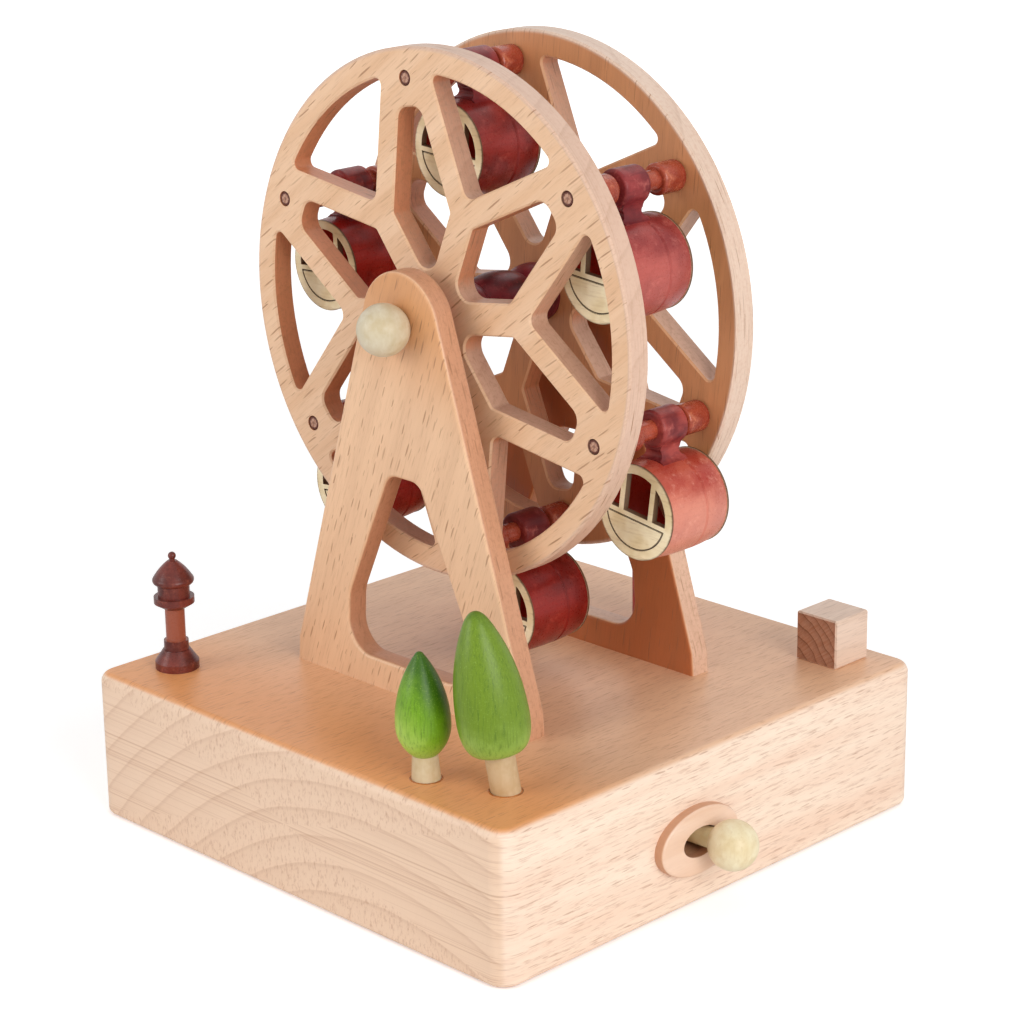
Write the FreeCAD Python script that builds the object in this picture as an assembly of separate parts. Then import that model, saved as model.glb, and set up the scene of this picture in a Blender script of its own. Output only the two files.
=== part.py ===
import FreeCAD, Part
import math
import os

# A wooden ferris wheel toy on a square music-box base.
# Frame: millimetres, +Z up, origin at the centre of the base's underside.
# The wheel's axle lies along Y. The music lever is on the +X face of the base.

V = FreeCAD.Vector
X_AXIS = V(1, 0, 0)
Y_AXIS = V(0, 1, 0)
Z_AXIS = V(0, 0, 1)
ORIGIN = V(0, 0, 0)

# ---------------------------------------------------------------- clearances
GLUE_FIT = 0.03          # radial room round a glued peg
RUNNING_FIT = 0.06       # radial room round a turning shaft
FACE_GAP = 0.2           # room between two faces that turn past each other
PASS_GAP = 0.6           # room round a shaft that passes a hole without bearing
NEAR = 0.01              # tolerance when an edge is picked by its place

# ---------------------------------------------------------------- base block
BASE_SIDE = 115.0
BASE_HEIGHT = 30.0
BASE_CORNER_RADIUS = 4.0
BASE_TOP_ROUND = 2.0
BASE_FOOT_ROUND = 1.2
SEAT_X = 74.0            # seat in the underside for the bottom cover
SEAT_Y = 52.0
SEAT_CORNER_RADIUS = 4.0
COVER_THICK = 9.0
COVER_GAP = 0.2
KEY_POCKET_RADIUS = 11.5  # round pocket in the cover, where the key is turned
KEY_POCKET_DEPTH = 6.0
KEY_POCKET_CHAMFER = 0.5
COVER_SCREW_WELL_RADIUS = 2.3
CAVITY_X = 60.0          # room for the musical movement
CAVITY_Y = 38.0
CAVITY_HEADROOM = 0.7    # above the movement's highest point
COVER_SCREW_INSET = 3.6
SCREW_RADIUS = 1.0
SCREW_HEAD_RADIUS = 1.9
SCREW_HEAD_HEIGHT = 1.2
SCREW_BITE = 6.0
SCREW_SLOT = 0.5

# -------------------------------------------------------- tower and its place
TOWER_X = -1.0
TOWER_Y = 0.35
WHEEL_CLEARANCE = 23.25  # between the wheel's rim and the base, for the lowest gondola
BOARD = 4.8              # thickness of the wheels and supports
WHEEL_INNER_SPACE = 23.5
SUPPORT_GAP = 3.85       # between a wheel and its support

# ------------------------------------------------------------------- supports
SUPPORT_TOP_RADIUS = 10.2
SUPPORT_FOOT_HALF = 32.3
SUPPORT_KNEE_HALF = 32.0
SUPPORT_KNEE_HEIGHT = 4.5
SUPPORT_EDGE_ROUND = 0.7
CUTOUT_BOTTOM = 5.9
CUTOUT_BOTTOM_HALF = 16.9
CUTOUT_WAIST_HALF = 16.2
CUTOUT_WAIST_HEIGHT = 17.5
CUTOUT_TOP = 43.8
CUTOUT_TOP_HALF = 4.2
CUTOUT_BOTTOM_ROUND = 6.0
CUTOUT_WAIST_ROUND = 8.0
CUTOUT_TOP_ROUND = 3.6
DOWEL_RADIUS = 1.5
DOWEL_HALF_SPACING = 24.5
DOWEL_IN_BASE = 6.0
DOWEL_IN_LEG = 12.0
DOWEL_END_GAP = 0.5

# --------------------------------------------------------------------- wheels
WHEEL_RADIUS = 50.25
RIM_WIDTH = 4.75
ROD_COUNT = 6
ROD_INSET = 5.75         # a rod's axis inside the wheel's edge
FIRST_ROD_ANGLE = 97.8
BAR_WIDTH = 5.05
BAR_LEAN = 13.9          # slope of a bar against the ray through its rod
BAR_MEET_BEYOND = 17.0   # how far outside a rod's axis the centre lines of two bars would meet
SPOKE_WIDTH = 6.2
KITE_TOP_BELOW = 5.3     # top of the kite-shaped opening inside the rod's axis
KITE_TOP_ROUND = 2.6
KITE_SIDE_ROUND = 1.2
KITE_FOOT_ROUND = 3.0
PANE_OUTER_ROUND = 1.3
PANE_INNER_ROUND = 2.0
WHEEL_EDGE_CHAMFER = 0.35

# ----------------------------------------------------------------- axle group
AXLE_RADIUS = 2.5
AXLE_BALL_RADIUS = 5.0
AXLE_BALL_STAND = 3.8    # ball's centre outside the support's face
AXLE_BALL_BORE = 2.0     # how far the axle passes the ball's centre
WASHER_RADIUS = 5.2
SPOOL_END_RADIUS = 5.6
SPOOL_BEAD_RADIUS = 5.9
SPOOL_NECK_RADIUS = 4.75
SPOOL_NECK_FROM_END = 5.85
SPOOL_END_BEAD_FROM_END = 2.0

# ----------------------------------------------------------------------- rods
ROD_COLLAR_RADIUS = 3.0
ROD_COLLAR_LENGTH = 5.8
ROD_COLLAR_ROUND = 0.7
ROD_MIDDLE_RADIUS = 1.9
ROD_PIN_RADIUS = 1.3
ROD_PIN_HOLE = 1.5
ROD_PIN_RECESS = 0.3

# ------------------------------------------------------------------- gondolas
GONDOLA_LENGTH = 15.5
GONDOLA_DROP = 14.9      # drum's axis below the rod's axis
DRUM_END_RADIUS = 8.9
DRUM_BELLY_RADIUS = 9.35
DRUM_BORE_RADIUS = 8.1
DRUM_GROOVE_DEPTH = 0.35
DRUM_GROOVE_HALF = 0.35
DRUM_GROOVE_BEHIND = 1.6
PLATE_RADIUS = 9.05
PLATE_THICK = 1.3
PLATE_PROUD = 0.35       # how far the plate's rim stands out of the drum; the rest sits in its bore
WINDOW_RADIUS = 7.3
WINDOW_MIDDLE_WIDTH = 6.0
MULLION_WIDTH = 1.15
WINDOW_SILL_DROP = 0.5
SILL_HEIGHT = 0.9
PANEL_GROOVE_WIDTH = 0.35
PANEL_GROOVE_DEPTH = 0.25
HANGER_RADIUS = 3.6
HANGER_LENGTH = 6.7
HANGER_ROUND = 0.7
HANGER_SHIFT = 0.5       # how far the ring stands in front of the drum's middle
NECK_SIDE_SCOOP = 2.2    # radius of the hollow that runs from the ring into the drum
NECK_WAIST_Y = 2.3       # half width of the neck where its ends are cut in
# One value for each rod, counterclockwise from the top one.
GONDOLA_SLIDES = (1.8, 0.9, -0.6, 1.7, 2.2, -1.25)
PLATE_TURNS = (-4.0, 3.0, 5.0, -2.0, -8.0, -5.0)

# --------------------------------------------------------- things on the base
LAMP_FROM_LEFT = 10.5    # places are given from the base's nearest sides
LAMP_FROM_FRONT = 13.0
LAMP_SPIGOT_RADIUS = 1.5
LAMP_SPIGOT_LENGTH = 5.0
LAMP_FOOT_RADIUS = 4.35
LAMP_FOOT_THICK = 1.5
LAMP_FOOT_TOP_RADIUS = 2.7
LAMP_RING_RADIUS = 2.45
LAMP_RING_START = 3.9
LAMP_RING_TOP = 5.8
LAMP_STEM_RADIUS = 1.95
LAMP_COLLAR_START = 12.3
LAMP_COLLAR_RADIUS = 4.0
LAMP_COLLAR_EDGE = 13.6
LAMP_COLLAR_TOP = 14.9
LAMP_BODY_RADIUS = 3.15
LAMP_BODY_TOP = 17.4
LAMP_ROOF_RADIUS = 4.1
LAMP_ROOF_WIDEST = 18.25
LAMP_ROOF_RIM_RADIUS = 3.85
LAMP_ROOF_RIM_TOP = 18.9
LAMP_ROOF_BULGE = 0.2    # how far the roof's side is arched out from a straight cone
LAMP_ROOF_TOP_RADIUS = 0.95
LAMP_ROOF_TOP = 22.2
LAMP_FINIAL_NECK_RADIUS = 0.55
LAMP_FINIAL_NECK_TOP = 22.6
LAMP_FINIAL_RADIUS = 0.8

SMALL_TREE = dict(from_right=27.7, from_front=8.4, foot_radius=2.7, trunk_radius=2.35, trunk=4.7,
                  crown=19.5, crown_radius=5.05, widest=5.8, crown_foot_radius=2.3, tip_radius=0.9,
                  tip_slope=34.0, lean=1.8)
BIG_TREE = dict(from_right=13.2, from_front=14.1, foot_radius=2.75, trunk_radius=2.75, trunk=8.0,
                crown=26.2, crown_radius=6.35, widest=7.0, crown_foot_radius=3.5, tip_radius=2.4,
                tip_slope=27.0, lean=8.5)
TREE_LEAN_HEADING = 225.0
TREE_SOCKET_DEPTH = 4.0
TREE_SOCKET_GAP = 0.35
TREE_TENON_RADIUS = 1.2
TREE_TENON_LENGTH = 4.0

CUBE_SIDE = 10.0
CUBE_FROM_RIGHT = 13.2
CUBE_FROM_BACK = 10.1
CUBE_CHAMFER = 0.3
PEG_X = 4.6
PEG_FROM_BACK = 18.7
PEG_RADIUS = 4.5
PEG_HEIGHT = 16.0
PEG_DOME = 2.4
PEG_FOOT_CHAMFER = 0.4

# ---------------------------------------------------------------------- lever
LEVER_Y = -8.3
LEVER_Z = 13.4
LEVER_PLATE_HALF_Y = 10.6
LEVER_PLATE_HALF_Z = 6.6
LEVER_PLATE_THICK = 2.0
LEVER_PLATE_ROUND = 0.6
LEVER_SLOT_LENGTH = 9.6
LEVER_SLOT_HEIGHT = 5.8
MORTISE_SIDE_ROOM = 1.2  # the mortise behind the plate is wider than the plate's slot
MORTISE_ROOM_ABOVE = 0.2
LEVER_STEM_RADIUS = 2.0
LEVER_STOP_INSET = 2.4   # stem's axis to the slot's end, where the stem stops
LEVER_BALL_STAND = 7.3   # ball's centre outside the base's face
LEVER_BALL_RADIUS = 4.8
LEVER_PIVOT_X = 15.0
LEVER_EYE_RADIUS = 3.0
LEVER_EYE_HALF_HEIGHT = 2.1
LEVER_TAIL_LENGTH = 8.0
LEVER_TAIL_RADIUS = 1.3
LEVER_PIVOT_RADIUS = 1.2

# ------------------------------------------------------------ music movement
BEDPLATE_X0 = -27.0
BEDPLATE_X1 = 25.0
BEDPLATE_HALF_Y = 16.5
BEDPLATE_THICK = 1.6
BEDPLATE_CORNER = 3.0
BEDPLATE_SCREW_INSET = 2.8
BARREL_X = -14.0
BARREL_RADIUS = 11.9
BARREL_HEIGHT = 4.0
BARREL_LIP = 0.6
BARREL_BOSS_RADIUS = 4.0
KEY_SHAFT_RADIUS = 1.5
KEY_BOSS_RADIUS = 2.4
KEY_WING_HALF = 8.0
KEY_WING_THICK = 1.6
KEY_WING_HEIGHT = 4.2
KEY_WING_WAIST = 3.2
KEY_WING_NOTCH = 1.0     # how far the wing's waist is cut in from below
KEY_TIP_ROUND = 1.2
KEY_WAIST_ROUND = 0.4
KEY_FLOOR_GAP = 0.9
GEAR_MODULE = 0.6
CROWN_TEETH = 36
CROWN_TOOTH_INSET = 0.15  # how far a crown tooth starts inside the rim's edge and under its top
PINION_TEETH = 10
GEAR_TOOTH_WIDTH = 0.62
GEAR_ADDENDUM = 0.3
GEAR_DEDENDUM = 0.6
GEAR_FACE = 1.6
CYLINDER_X0 = -0.4
CYLINDER_X1 = 14.0
CYLINDER_RADIUS = 5.5
CYLINDER_ARBOR_RADIUS = 0.8
CYLINDER_EAR_HALF = 3.0
CYLINDER_EAR_THICK = 1.0
CYLINDER_EAR_GAP = 0.4
CYLINDER_EAR_ABOVE = 2.6
COMB_TEETH = 18
COMB_SAW = 0.2
COMB_THICK = 1.0
COMB_END_Y = 16.2
COMB_BODY_Y = 12.4
COMB_LONGEST = 6.0
COMB_SHORTEST = 4.0
COMB_PIN_GAP = 0.25
COMB_SCREWS = 3
COMB_SCREW_HEAD = 1.5
PIN_RADIUS = 0.16
PIN_HEIGHT = 0.4
PIN_ROUNDS = 3
PIN_STEP = 67.0          # turn between the pins of neighbouring tracks
FLY_X = 7.0
FLY_SPINDLE_RADIUS = 0.5
FLY_DISC_RADIUS = 2.2
FLY_DISC_THICK = 1.6
FLY_BLADE_RADIUS = 3.6
FLY_BLADE_THICK = 0.4
FLY_BELOW_TOP = 1.1      # governor's top below the movement's highest point
GOVERNOR_PLATE = 0.8
GOVERNOR_BACK = 6.0      # web of the frame behind the spindle
GOVERNOR_HALF_Y = 2.4
BRAKE_GAP = 0.3

# ------------------------------------------------------------ derived places
BASE_TOP = BASE_HEIGHT
FACE_X = BASE_SIDE / 2
RIGHT = BASE_SIDE / 2
LEFT = -BASE_SIDE / 2
FRONT = -BASE_SIDE / 2
BACK = BASE_SIDE / 2
AXLE_ABOVE_BASE = WHEEL_RADIUS + WHEEL_CLEARANCE
AXLE_Z = BASE_TOP + AXLE_ABOVE_BASE
ROD_REACH = WHEEL_RADIUS - ROD_INSET
BAR_MEET = ROD_REACH + BAR_MEET_BEYOND
KITE_TOP = ROD_REACH - KITE_TOP_BELOW
WHEEL_INNER = WHEEL_INNER_SPACE / 2
WHEEL_OUTER = WHEEL_INNER + BOARD
SUPPORT_INNER = WHEEL_OUTER + SUPPORT_GAP
SUPPORT_OUTER = SUPPORT_INNER + BOARD
COVER_TOP = COVER_THICK
COVER_WEB = COVER_THICK - KEY_POCKET_DEPTH
KEY_TOP = KEY_POCKET_DEPTH - FACE_GAP
BED_TOP = COVER_TOP + BEDPLATE_THICK
BARREL_Z0 = BED_TOP + FACE_GAP
CROWN_RADIUS = GEAR_MODULE * CROWN_TEETH / 2
PINION_RADIUS = GEAR_MODULE * PINION_TEETH / 2
CROWN_PITCH_Z = BARREL_Z0 + BARREL_HEIGHT + GEAR_DEDENDUM
CYLINDER_Z = CROWN_PITCH_Z + PINION_RADIUS
MOVEMENT_TOP = CYLINDER_Z + CYLINDER_RADIUS + PIN_HEIGHT
FLY_TOP_Z = MOVEMENT_TOP - FLY_BELOW_TOP
CAVITY_TOP = MOVEMENT_TOP + CAVITY_HEADROOM
PINION_X = BARREL_X + CROWN_RADIUS
LEVER_SWING = LEVER_SLOT_LENGTH / 2 - LEVER_STOP_INSET
LEVER_TURN = math.atan2(LEVER_SWING, FACE_X + LEVER_PLATE_THICK - LEVER_PIVOT_X)
LEVER_DIRECTION = V(math.cos(LEVER_TURN), math.sin(LEVER_TURN), 0)
LEVER_PIVOT = V(LEVER_PIVOT_X, LEVER_Y, LEVER_Z)
TOWER = V(TOWER_X, TOWER_Y, AXLE_Z)


# ----------------------------------------------------------- shape helpers
def box(x0, x1, y0, y1, z0, z1):
    return Part.makeBox(x1 - x0, y1 - y0, z1 - z0, V(x0, y0, z0))


def rod(radius, start, end):
    """A round bar from one point to another."""
    way = end - start
    return Part.makeCylinder(radius, way.Length, start, way)


def fuse(shapes):
    return shapes[0].multiFuse(shapes[1:]).removeSplitter() if len(shapes) > 1 else shapes[0]


def cut(shape, tools):
    return shape.cut(Part.makeCompound(tools)) if tools else shape


def arc_or_line(start, end, middle=None):
    if middle is None:
        return Part.LineSegment(start, end).toShape()
    return Part.Arc(start, middle, end).toShape()


def turned(profile, foot, axis):
    """Revolve (radius, height) steps; a step with four values gives an arc's middle point first."""
    points = [V(step[-2], 0, step[-1]) for step in profile]
    edges = []
    for index in range(1, len(profile)):
        step = profile[index]
        middle = V(step[0], 0, step[1]) if len(step) == 4 else None
        edges.append(arc_or_line(points[index - 1], points[index], middle))
    edges.append(arc_or_line(points[-1], points[0]))
    solid = Part.makeSolid(Part.Face(Part.Wire(edges)).revolve(ORIGIN, Z_AXIS, 360))
    solid.Placement = FreeCAD.Placement(foot, FreeCAD.Rotation(Z_AXIS, axis))
    return solid


def rounded_outline(corners, place):
    """A closed wire through (a, b, radius) corners, each corner a tangent arc; place maps (a, b) to 3-D."""
    edges = []
    ends = []
    for index, (a, b, radius) in enumerate(corners):
        here = V(a, b, 0)
        if radius == 0:
            ends.append((here, here, here))
            continue
        before = (V(*corners[index - 1][:2], 0) - here).normalize()
        after = (V(*corners[(index + 1) % len(corners)][:2], 0) - here).normalize()
        half = before.getAngle(after) / 2
        reach = radius / math.tan(half)
        centre = here + (before + after).normalize() * (radius / math.sin(half))
        middle = centre + (here - centre).normalize() * radius
        ends.append((here + before * reach, middle, here + after * reach))
    for index, (start, middle, end) in enumerate(ends):
        if corners[index][2] > 0:
            edges.append(Part.Arc(place(start), place(middle), place(end)).toShape())
        following = ends[(index + 1) % len(ends)][0]
        edges.append(Part.LineSegment(place(end), place(following)).toShape())
    return Part.Wire(edges)


def board_between(corners, y0, y1, centre):
    """A board of the given outline in the X-Z plane, from y0 to y1 about the tower's centre."""
    wire = rounded_outline(corners, lambda p: centre + V(p.x, y0, p.y))
    return Part.Face(wire).extrude(V(0, y1 - y0, 0))


def edges_at(shape, test):
    """The edges whose every end and middle passes the test."""
    found = []
    for edge in shape.Edges:
        middle = edge.valueAt((edge.FirstParameter + edge.LastParameter) / 2)
        if all(test(point) for point in [vertex.Point for vertex in edge.Vertexes] + [middle]):
            found.append(edge)
    return found


def screw(head_seat, direction, bite, head_radius=SCREW_HEAD_RADIUS, radius=SCREW_RADIUS):
    """A slotted round-head screw whose head sits at head_seat and whose shank runs along direction."""
    shank = rod(radius, head_seat, head_seat + direction * bite)
    crown = head_seat - direction * SCREW_HEAD_HEIGHT
    head = rod(head_radius, head_seat, crown)
    rim = [edge for edge in head.Edges
           if len(edge.Vertexes) == 1 and edge.BoundBox.Center.distanceToPoint(crown) < SCREW_SLOT / 2]
    head = head.makeFillet(SCREW_HEAD_HEIGHT / 2, rim)
    slot = box(-head_radius, head_radius, -SCREW_SLOT / 2, SCREW_SLOT / 2, -SCREW_SLOT, SCREW_SLOT)
    slot.translate(crown)
    return shank.fuse(head).cut(slot)


def polar(radius, degrees):
    return V(radius * math.cos(math.radians(degrees)), 0, radius * math.sin(math.radians(degrees)))


def rod_angle(index):
    return FIRST_ROD_ANGLE + 360.0 / ROD_COUNT * index


def rod_place(index):
    return TOWER + polar(ROD_REACH, rod_angle(index))


# -------------------------------------------------------------------- base
def lever_mortise():
    """The mortise through the base's side wall, wide enough for the lever's swing."""
    wide = LEVER_SLOT_LENGTH / 2 + MORTISE_SIDE_ROOM
    half = LEVER_SLOT_HEIGHT / 2 + MORTISE_ROOM_ABOVE
    return box(0, FACE_X, LEVER_Y - wide, LEVER_Y + wide, LEVER_Z - half, LEVER_Z + half)


def cover_screw_places():
    x = SEAT_X / 2 - COVER_SCREW_INSET
    y = SEAT_Y / 2 - COVER_SCREW_INSET
    return [V(sx * x, sy * y, KEY_POCKET_DEPTH) for sx in (-1, 1) for sy in (-1, 1)]


def dowel_places():
    y = SUPPORT_INNER + BOARD / 2
    return [V(TOWER_X + sx * DOWEL_HALF_SPACING, TOWER_Y + sy * y, BASE_TOP)
            for sy in (-1, 1) for sx in (-1, 1)]


def dowel_hole(place):
    return rod(DOWEL_RADIUS + GLUE_FIT, place - Z_AXIS * (DOWEL_IN_BASE + DOWEL_END_GAP),
               place + Z_AXIS * (DOWEL_IN_LEG + DOWEL_END_GAP))


def base_block():
    half = BASE_SIDE / 2
    block = box(-half, half, -half, half, 0, BASE_HEIGHT)
    corners = edges_at(block, lambda p: abs(abs(p.x) - half) < NEAR and abs(abs(p.y) - half) < NEAR)
    block = block.makeFillet(BASE_CORNER_RADIUS, corners)
    block = block.makeFillet(BASE_TOP_ROUND, edges_at(block, lambda p: abs(p.z - BASE_HEIGHT) < NEAR))
    block = block.makeFillet(BASE_FOOT_ROUND, edges_at(block, lambda p: abs(p.z) < NEAR))
    seat = box(-SEAT_X / 2, SEAT_X / 2, -SEAT_Y / 2, SEAT_Y / 2, 0, COVER_TOP)
    corners = edges_at(seat, lambda p: abs(abs(p.x) - SEAT_X / 2) < NEAR
                       and abs(abs(p.y) - SEAT_Y / 2) < NEAR)
    seat = seat.makeFillet(SEAT_CORNER_RADIUS, corners)
    cavity = box(-CAVITY_X / 2, CAVITY_X / 2, -CAVITY_Y / 2, CAVITY_Y / 2, 0, CAVITY_TOP)
    tools = [seat, cavity, lever_mortise()]
    tools += [dowel_hole(place) for place in dowel_places()]
    tools += [rod(SCREW_RADIUS + GLUE_FIT, place, place + Z_AXIS * (COVER_WEB + SCREW_BITE + DOWEL_END_GAP))
              for place in cover_screw_places()]
    tools += [tree_socket(tree) for tree in (SMALL_TREE, BIG_TREE)]
    tools.append(rod(LAMP_SPIGOT_RADIUS + GLUE_FIT, lamp_place(),
                     lamp_place() - Z_AXIS * (LAMP_SPIGOT_LENGTH + DOWEL_END_GAP)))
    for tool in tools:
        block = block.cut(tool)
    return block


def bottom_cover():
    """The board let in flush with the underside, with a round pocket for the key."""
    x = SEAT_X / 2 - COVER_GAP
    y = SEAT_Y / 2 - COVER_GAP
    plate = box(-x, x, -y, y, 0, COVER_TOP)
    corners = edges_at(plate, lambda p: abs(abs(p.x) - x) < NEAR and abs(abs(p.y) - y) < NEAR)
    plate = plate.makeFillet(SEAT_CORNER_RADIUS - COVER_GAP, corners)
    plate = plate.cut(rod(KEY_POCKET_RADIUS, V(BARREL_X, 0, 0), V(BARREL_X, 0, KEY_POCKET_DEPTH)))
    mouth = edges_at(plate, lambda p: abs(p.z) < NEAR
                     and abs(math.hypot(p.x - BARREL_X, p.y) - KEY_POCKET_RADIUS) < NEAR)
    plate = plate.makeChamfer(KEY_POCKET_CHAMFER, mouth)
    holes = [rod(KEY_SHAFT_RADIUS + PASS_GAP, V(BARREL_X, 0, 0), V(BARREL_X, 0, COVER_TOP))]
    for place in cover_screw_places():
        holes.append(rod(COVER_SCREW_WELL_RADIUS, V(place.x, place.y, 0), place))
        holes.append(rod(SCREW_RADIUS + GLUE_FIT, place, place + Z_AXIS * COVER_WEB))
    deep = BEDPLATE_THICK + COVER_WEB + DOWEL_END_GAP
    holes += [rod(SCREW_RADIUS + GLUE_FIT, place, place - Z_AXIS * deep) for place in bedplate_screw_places()]
    return cut(plate, holes)


def bottom_cover_screws():
    return Part.makeCompound([screw(place, Z_AXIS, COVER_WEB + SCREW_BITE) for place in cover_screw_places()])


# ---------------------------------------------------------------- supports
def support(side):
    """The A-shaped board that carries one end of the axle; side is -1 in front and 1 behind."""
    knee = AXLE_ABOVE_BASE - SUPPORT_KNEE_HEIGHT
    reach = math.hypot(SUPPORT_KNEE_HALF, knee)
    swing = math.atan2(knee, SUPPORT_KNEE_HALF) + math.asin(SUPPORT_TOP_RADIUS / reach)
    run = math.sqrt(reach ** 2 - SUPPORT_TOP_RADIUS ** 2)
    left = V(-SUPPORT_KNEE_HALF + run * math.cos(swing), 0, -knee + run * math.sin(swing))
    right = V(-left.x, 0, left.z)
    y0 = min(side * SUPPORT_INNER, side * SUPPORT_OUTER)
    start = TOWER + V(0, y0, 0)
    outline = [start + V(SUPPORT_FOOT_HALF, 0, -AXLE_ABOVE_BASE), start + V(SUPPORT_KNEE_HALF, 0, -knee),
               start + right, start + left, start + V(-SUPPORT_KNEE_HALF, 0, -knee),
               start + V(-SUPPORT_FOOT_HALF, 0, -AXLE_ABOVE_BASE)]
    edges = [arc_or_line(outline[0], outline[1]), arc_or_line(outline[1], outline[2]),
             arc_or_line(outline[2], outline[3], start + V(0, 0, SUPPORT_TOP_RADIUS)),
             arc_or_line(outline[3], outline[4]), arc_or_line(outline[4], outline[5]),
             arc_or_line(outline[5], outline[0])]
    board = Part.Face(Part.Wire(edges)).extrude(V(0, BOARD, 0))
    corners = []
    for sign, order in ((1, 1), (-1, -1)):
        half = [(CUTOUT_BOTTOM_HALF, CUTOUT_BOTTOM, CUTOUT_BOTTOM_ROUND),
                (CUTOUT_WAIST_HALF, CUTOUT_WAIST_HEIGHT, CUTOUT_WAIST_ROUND),
                (CUTOUT_TOP_HALF, CUTOUT_TOP, CUTOUT_TOP_ROUND)]
        corners += [(sign * x, z - AXLE_ABOVE_BASE, radius) for x, z, radius in half[::order]]
    opening = board_between(corners, y0, y0 + BOARD, TOWER)
    board = board.cut(opening)
    foot_z = BASE_TOP + NEAR
    faces = [y0 + TOWER_Y, y0 + BOARD + TOWER_Y]
    rims = [edge for face in faces for edge in edges_at(board, lambda p, face=face: abs(p.y - face) < NEAR)
            if edge.BoundBox.ZMax > foot_z]
    board = board.makeFillet(SUPPORT_EDGE_ROUND, rims)
    bore = rod(AXLE_RADIUS + RUNNING_FIT, TOWER + V(0, y0, 0), TOWER + V(0, y0 + BOARD, 0))
    return cut(board, [bore] + [dowel_hole(place) for place in dowel_places()])


def support_dowels():
    return Part.makeCompound([rod(DOWEL_RADIUS, place - Z_AXIS * DOWEL_IN_BASE, place + Z_AXIS * DOWEL_IN_LEG)
                              for place in dowel_places()])


# ------------------------------------------------------------------ wheels
def kite_corners(angle):
    """The opening under one rod: two bars close it above and two spokes below."""
    lean = math.radians(BAR_LEAN)
    sector = math.radians(180.0 / ROD_COUNT)
    bar_edge = BAR_MEET - BAR_WIDTH / 2 / math.sin(lean)
    spoke_edge = SPOKE_WIDTH / 2 / math.sin(sector)
    side_u = (bar_edge * math.tan(lean) + spoke_edge * math.tan(sector)) / (math.tan(lean) + math.tan(sector))
    side_v = (bar_edge - side_u) * math.tan(lean)
    top_v = (bar_edge - KITE_TOP) * math.tan(lean)
    local = [(KITE_TOP, top_v, KITE_TOP_ROUND), (side_u, side_v, KITE_SIDE_ROUND),
             (spoke_edge, 0, KITE_FOOT_ROUND), (side_u, -side_v, KITE_SIDE_ROUND),
             (KITE_TOP, -top_v, KITE_TOP_ROUND)]
    return turn_corners(local, angle)


def turn_corners(local, angle):
    """Turn (along the ray, across it, radius) corners to the ray's angle."""
    c = math.cos(math.radians(angle))
    s = math.sin(math.radians(angle))
    return [(u * c - v * s, u * s + v * c, radius) for u, v, radius in local]


def pane(angle, y0, y1):
    """The opening between two rods, closed outside by the rim; angle is the middle ray."""
    lean = math.radians(BAR_LEAN)
    sector = math.radians(180.0 / ROD_COUNT)
    bar_edge = BAR_MEET + BAR_WIDTH / 2 / math.sin(lean)
    slope = lean + sector
    tip = bar_edge * math.sin(lean) / math.sin(slope)
    far = WHEEL_RADIUS
    spread = (far - tip) * math.tan(slope)
    corners = turn_corners([(tip, 0, 0), (far, -spread, 0), (far, spread, 0)], angle)
    wedge = board_between(corners, y0, y1, TOWER)
    inside = rod(WHEEL_RADIUS - RIM_WIDTH, TOWER + V(0, y0, 0), TOWER + V(0, y1, 0))
    opening = wedge.common(inside)
    middle = TOWER + polar(tip, angle)
    inner, outer = [], []
    for edge in opening.Edges:
        first, last = [vertex.Point for vertex in edge.Vertexes]
        if abs(first.y - last.y) > BOARD / 2:
            near = math.hypot(first.x - middle.x, first.z - middle.z) < BOARD / 10
            (inner if near else outer).append(edge)
    opening = opening.makeFillet(PANE_INNER_ROUND, inner)
    outer = [edge for edge in opening.Edges if any(
        edge.BoundBox.Center.distanceToPoint(other.BoundBox.Center) < NEAR for other in outer)]
    return opening.makeFillet(PANE_OUTER_ROUND, outer)


def wheel(side):
    """One pierced wheel; side is -1 in front and 1 behind."""
    y0 = min(side * WHEEL_INNER, side * WHEEL_OUTER)
    y1 = y0 + BOARD
    disc = rod(WHEEL_RADIUS, TOWER + V(0, y0, 0), TOWER + V(0, y1, 0))
    openings = []
    for index in range(ROD_COUNT):
        openings.append(board_between(kite_corners(rod_angle(index)), y0, y1, TOWER))
        openings.append(pane(rod_angle(index + 0.5), y0, y1))
    disc = cut(disc, openings)
    rims = edges_at(disc, lambda p: min(abs(p.y - TOWER_Y - y0), abs(p.y - TOWER_Y - y1)) < NEAR)
    disc = disc.makeChamfer(WHEEL_EDGE_CHAMFER, rims)
    holes = [rod(AXLE_RADIUS + GLUE_FIT, TOWER + V(0, y0, 0), TOWER + V(0, y1, 0))]
    for index in range(ROD_COUNT):
        holes.append(rod(ROD_PIN_HOLE, rod_place(index) + V(0, y0, 0), rod_place(index) + V(0, y1, 0)))
    return cut(disc, holes)


# -------------------------------------------------------------- axle group
def wheel_axle():
    reach = SUPPORT_OUTER + AXLE_BALL_STAND + AXLE_BALL_BORE
    return rod(AXLE_RADIUS, TOWER - Y_AXIS * reach, TOWER + Y_AXIS * reach)


def axle_ball(side):
    """A turned ball on the axle's end, flat where it faces the support."""
    centre = TOWER + Y_AXIS * side * (SUPPORT_OUTER + AXLE_BALL_STAND)
    flat = AXLE_BALL_STAND - FACE_GAP
    radius = AXLE_BALL_RADIUS
    ring = math.sqrt(radius ** 2 - flat ** 2)
    bore = AXLE_RADIUS + GLUE_FIT
    tilt = math.radians(45)
    upper = V(radius * math.sin(tilt), radius * math.cos(tilt), 0)
    profile = [(bore, -flat), (ring, -flat), (radius, 0, upper.x, upper.y),
               (radius * math.sin(tilt / 2), radius * math.cos(tilt / 2), 0, radius),
               (0, AXLE_BALL_BORE), (bore, AXLE_BALL_BORE)]
    return turned(profile, centre, Y_AXIS * side)


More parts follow.
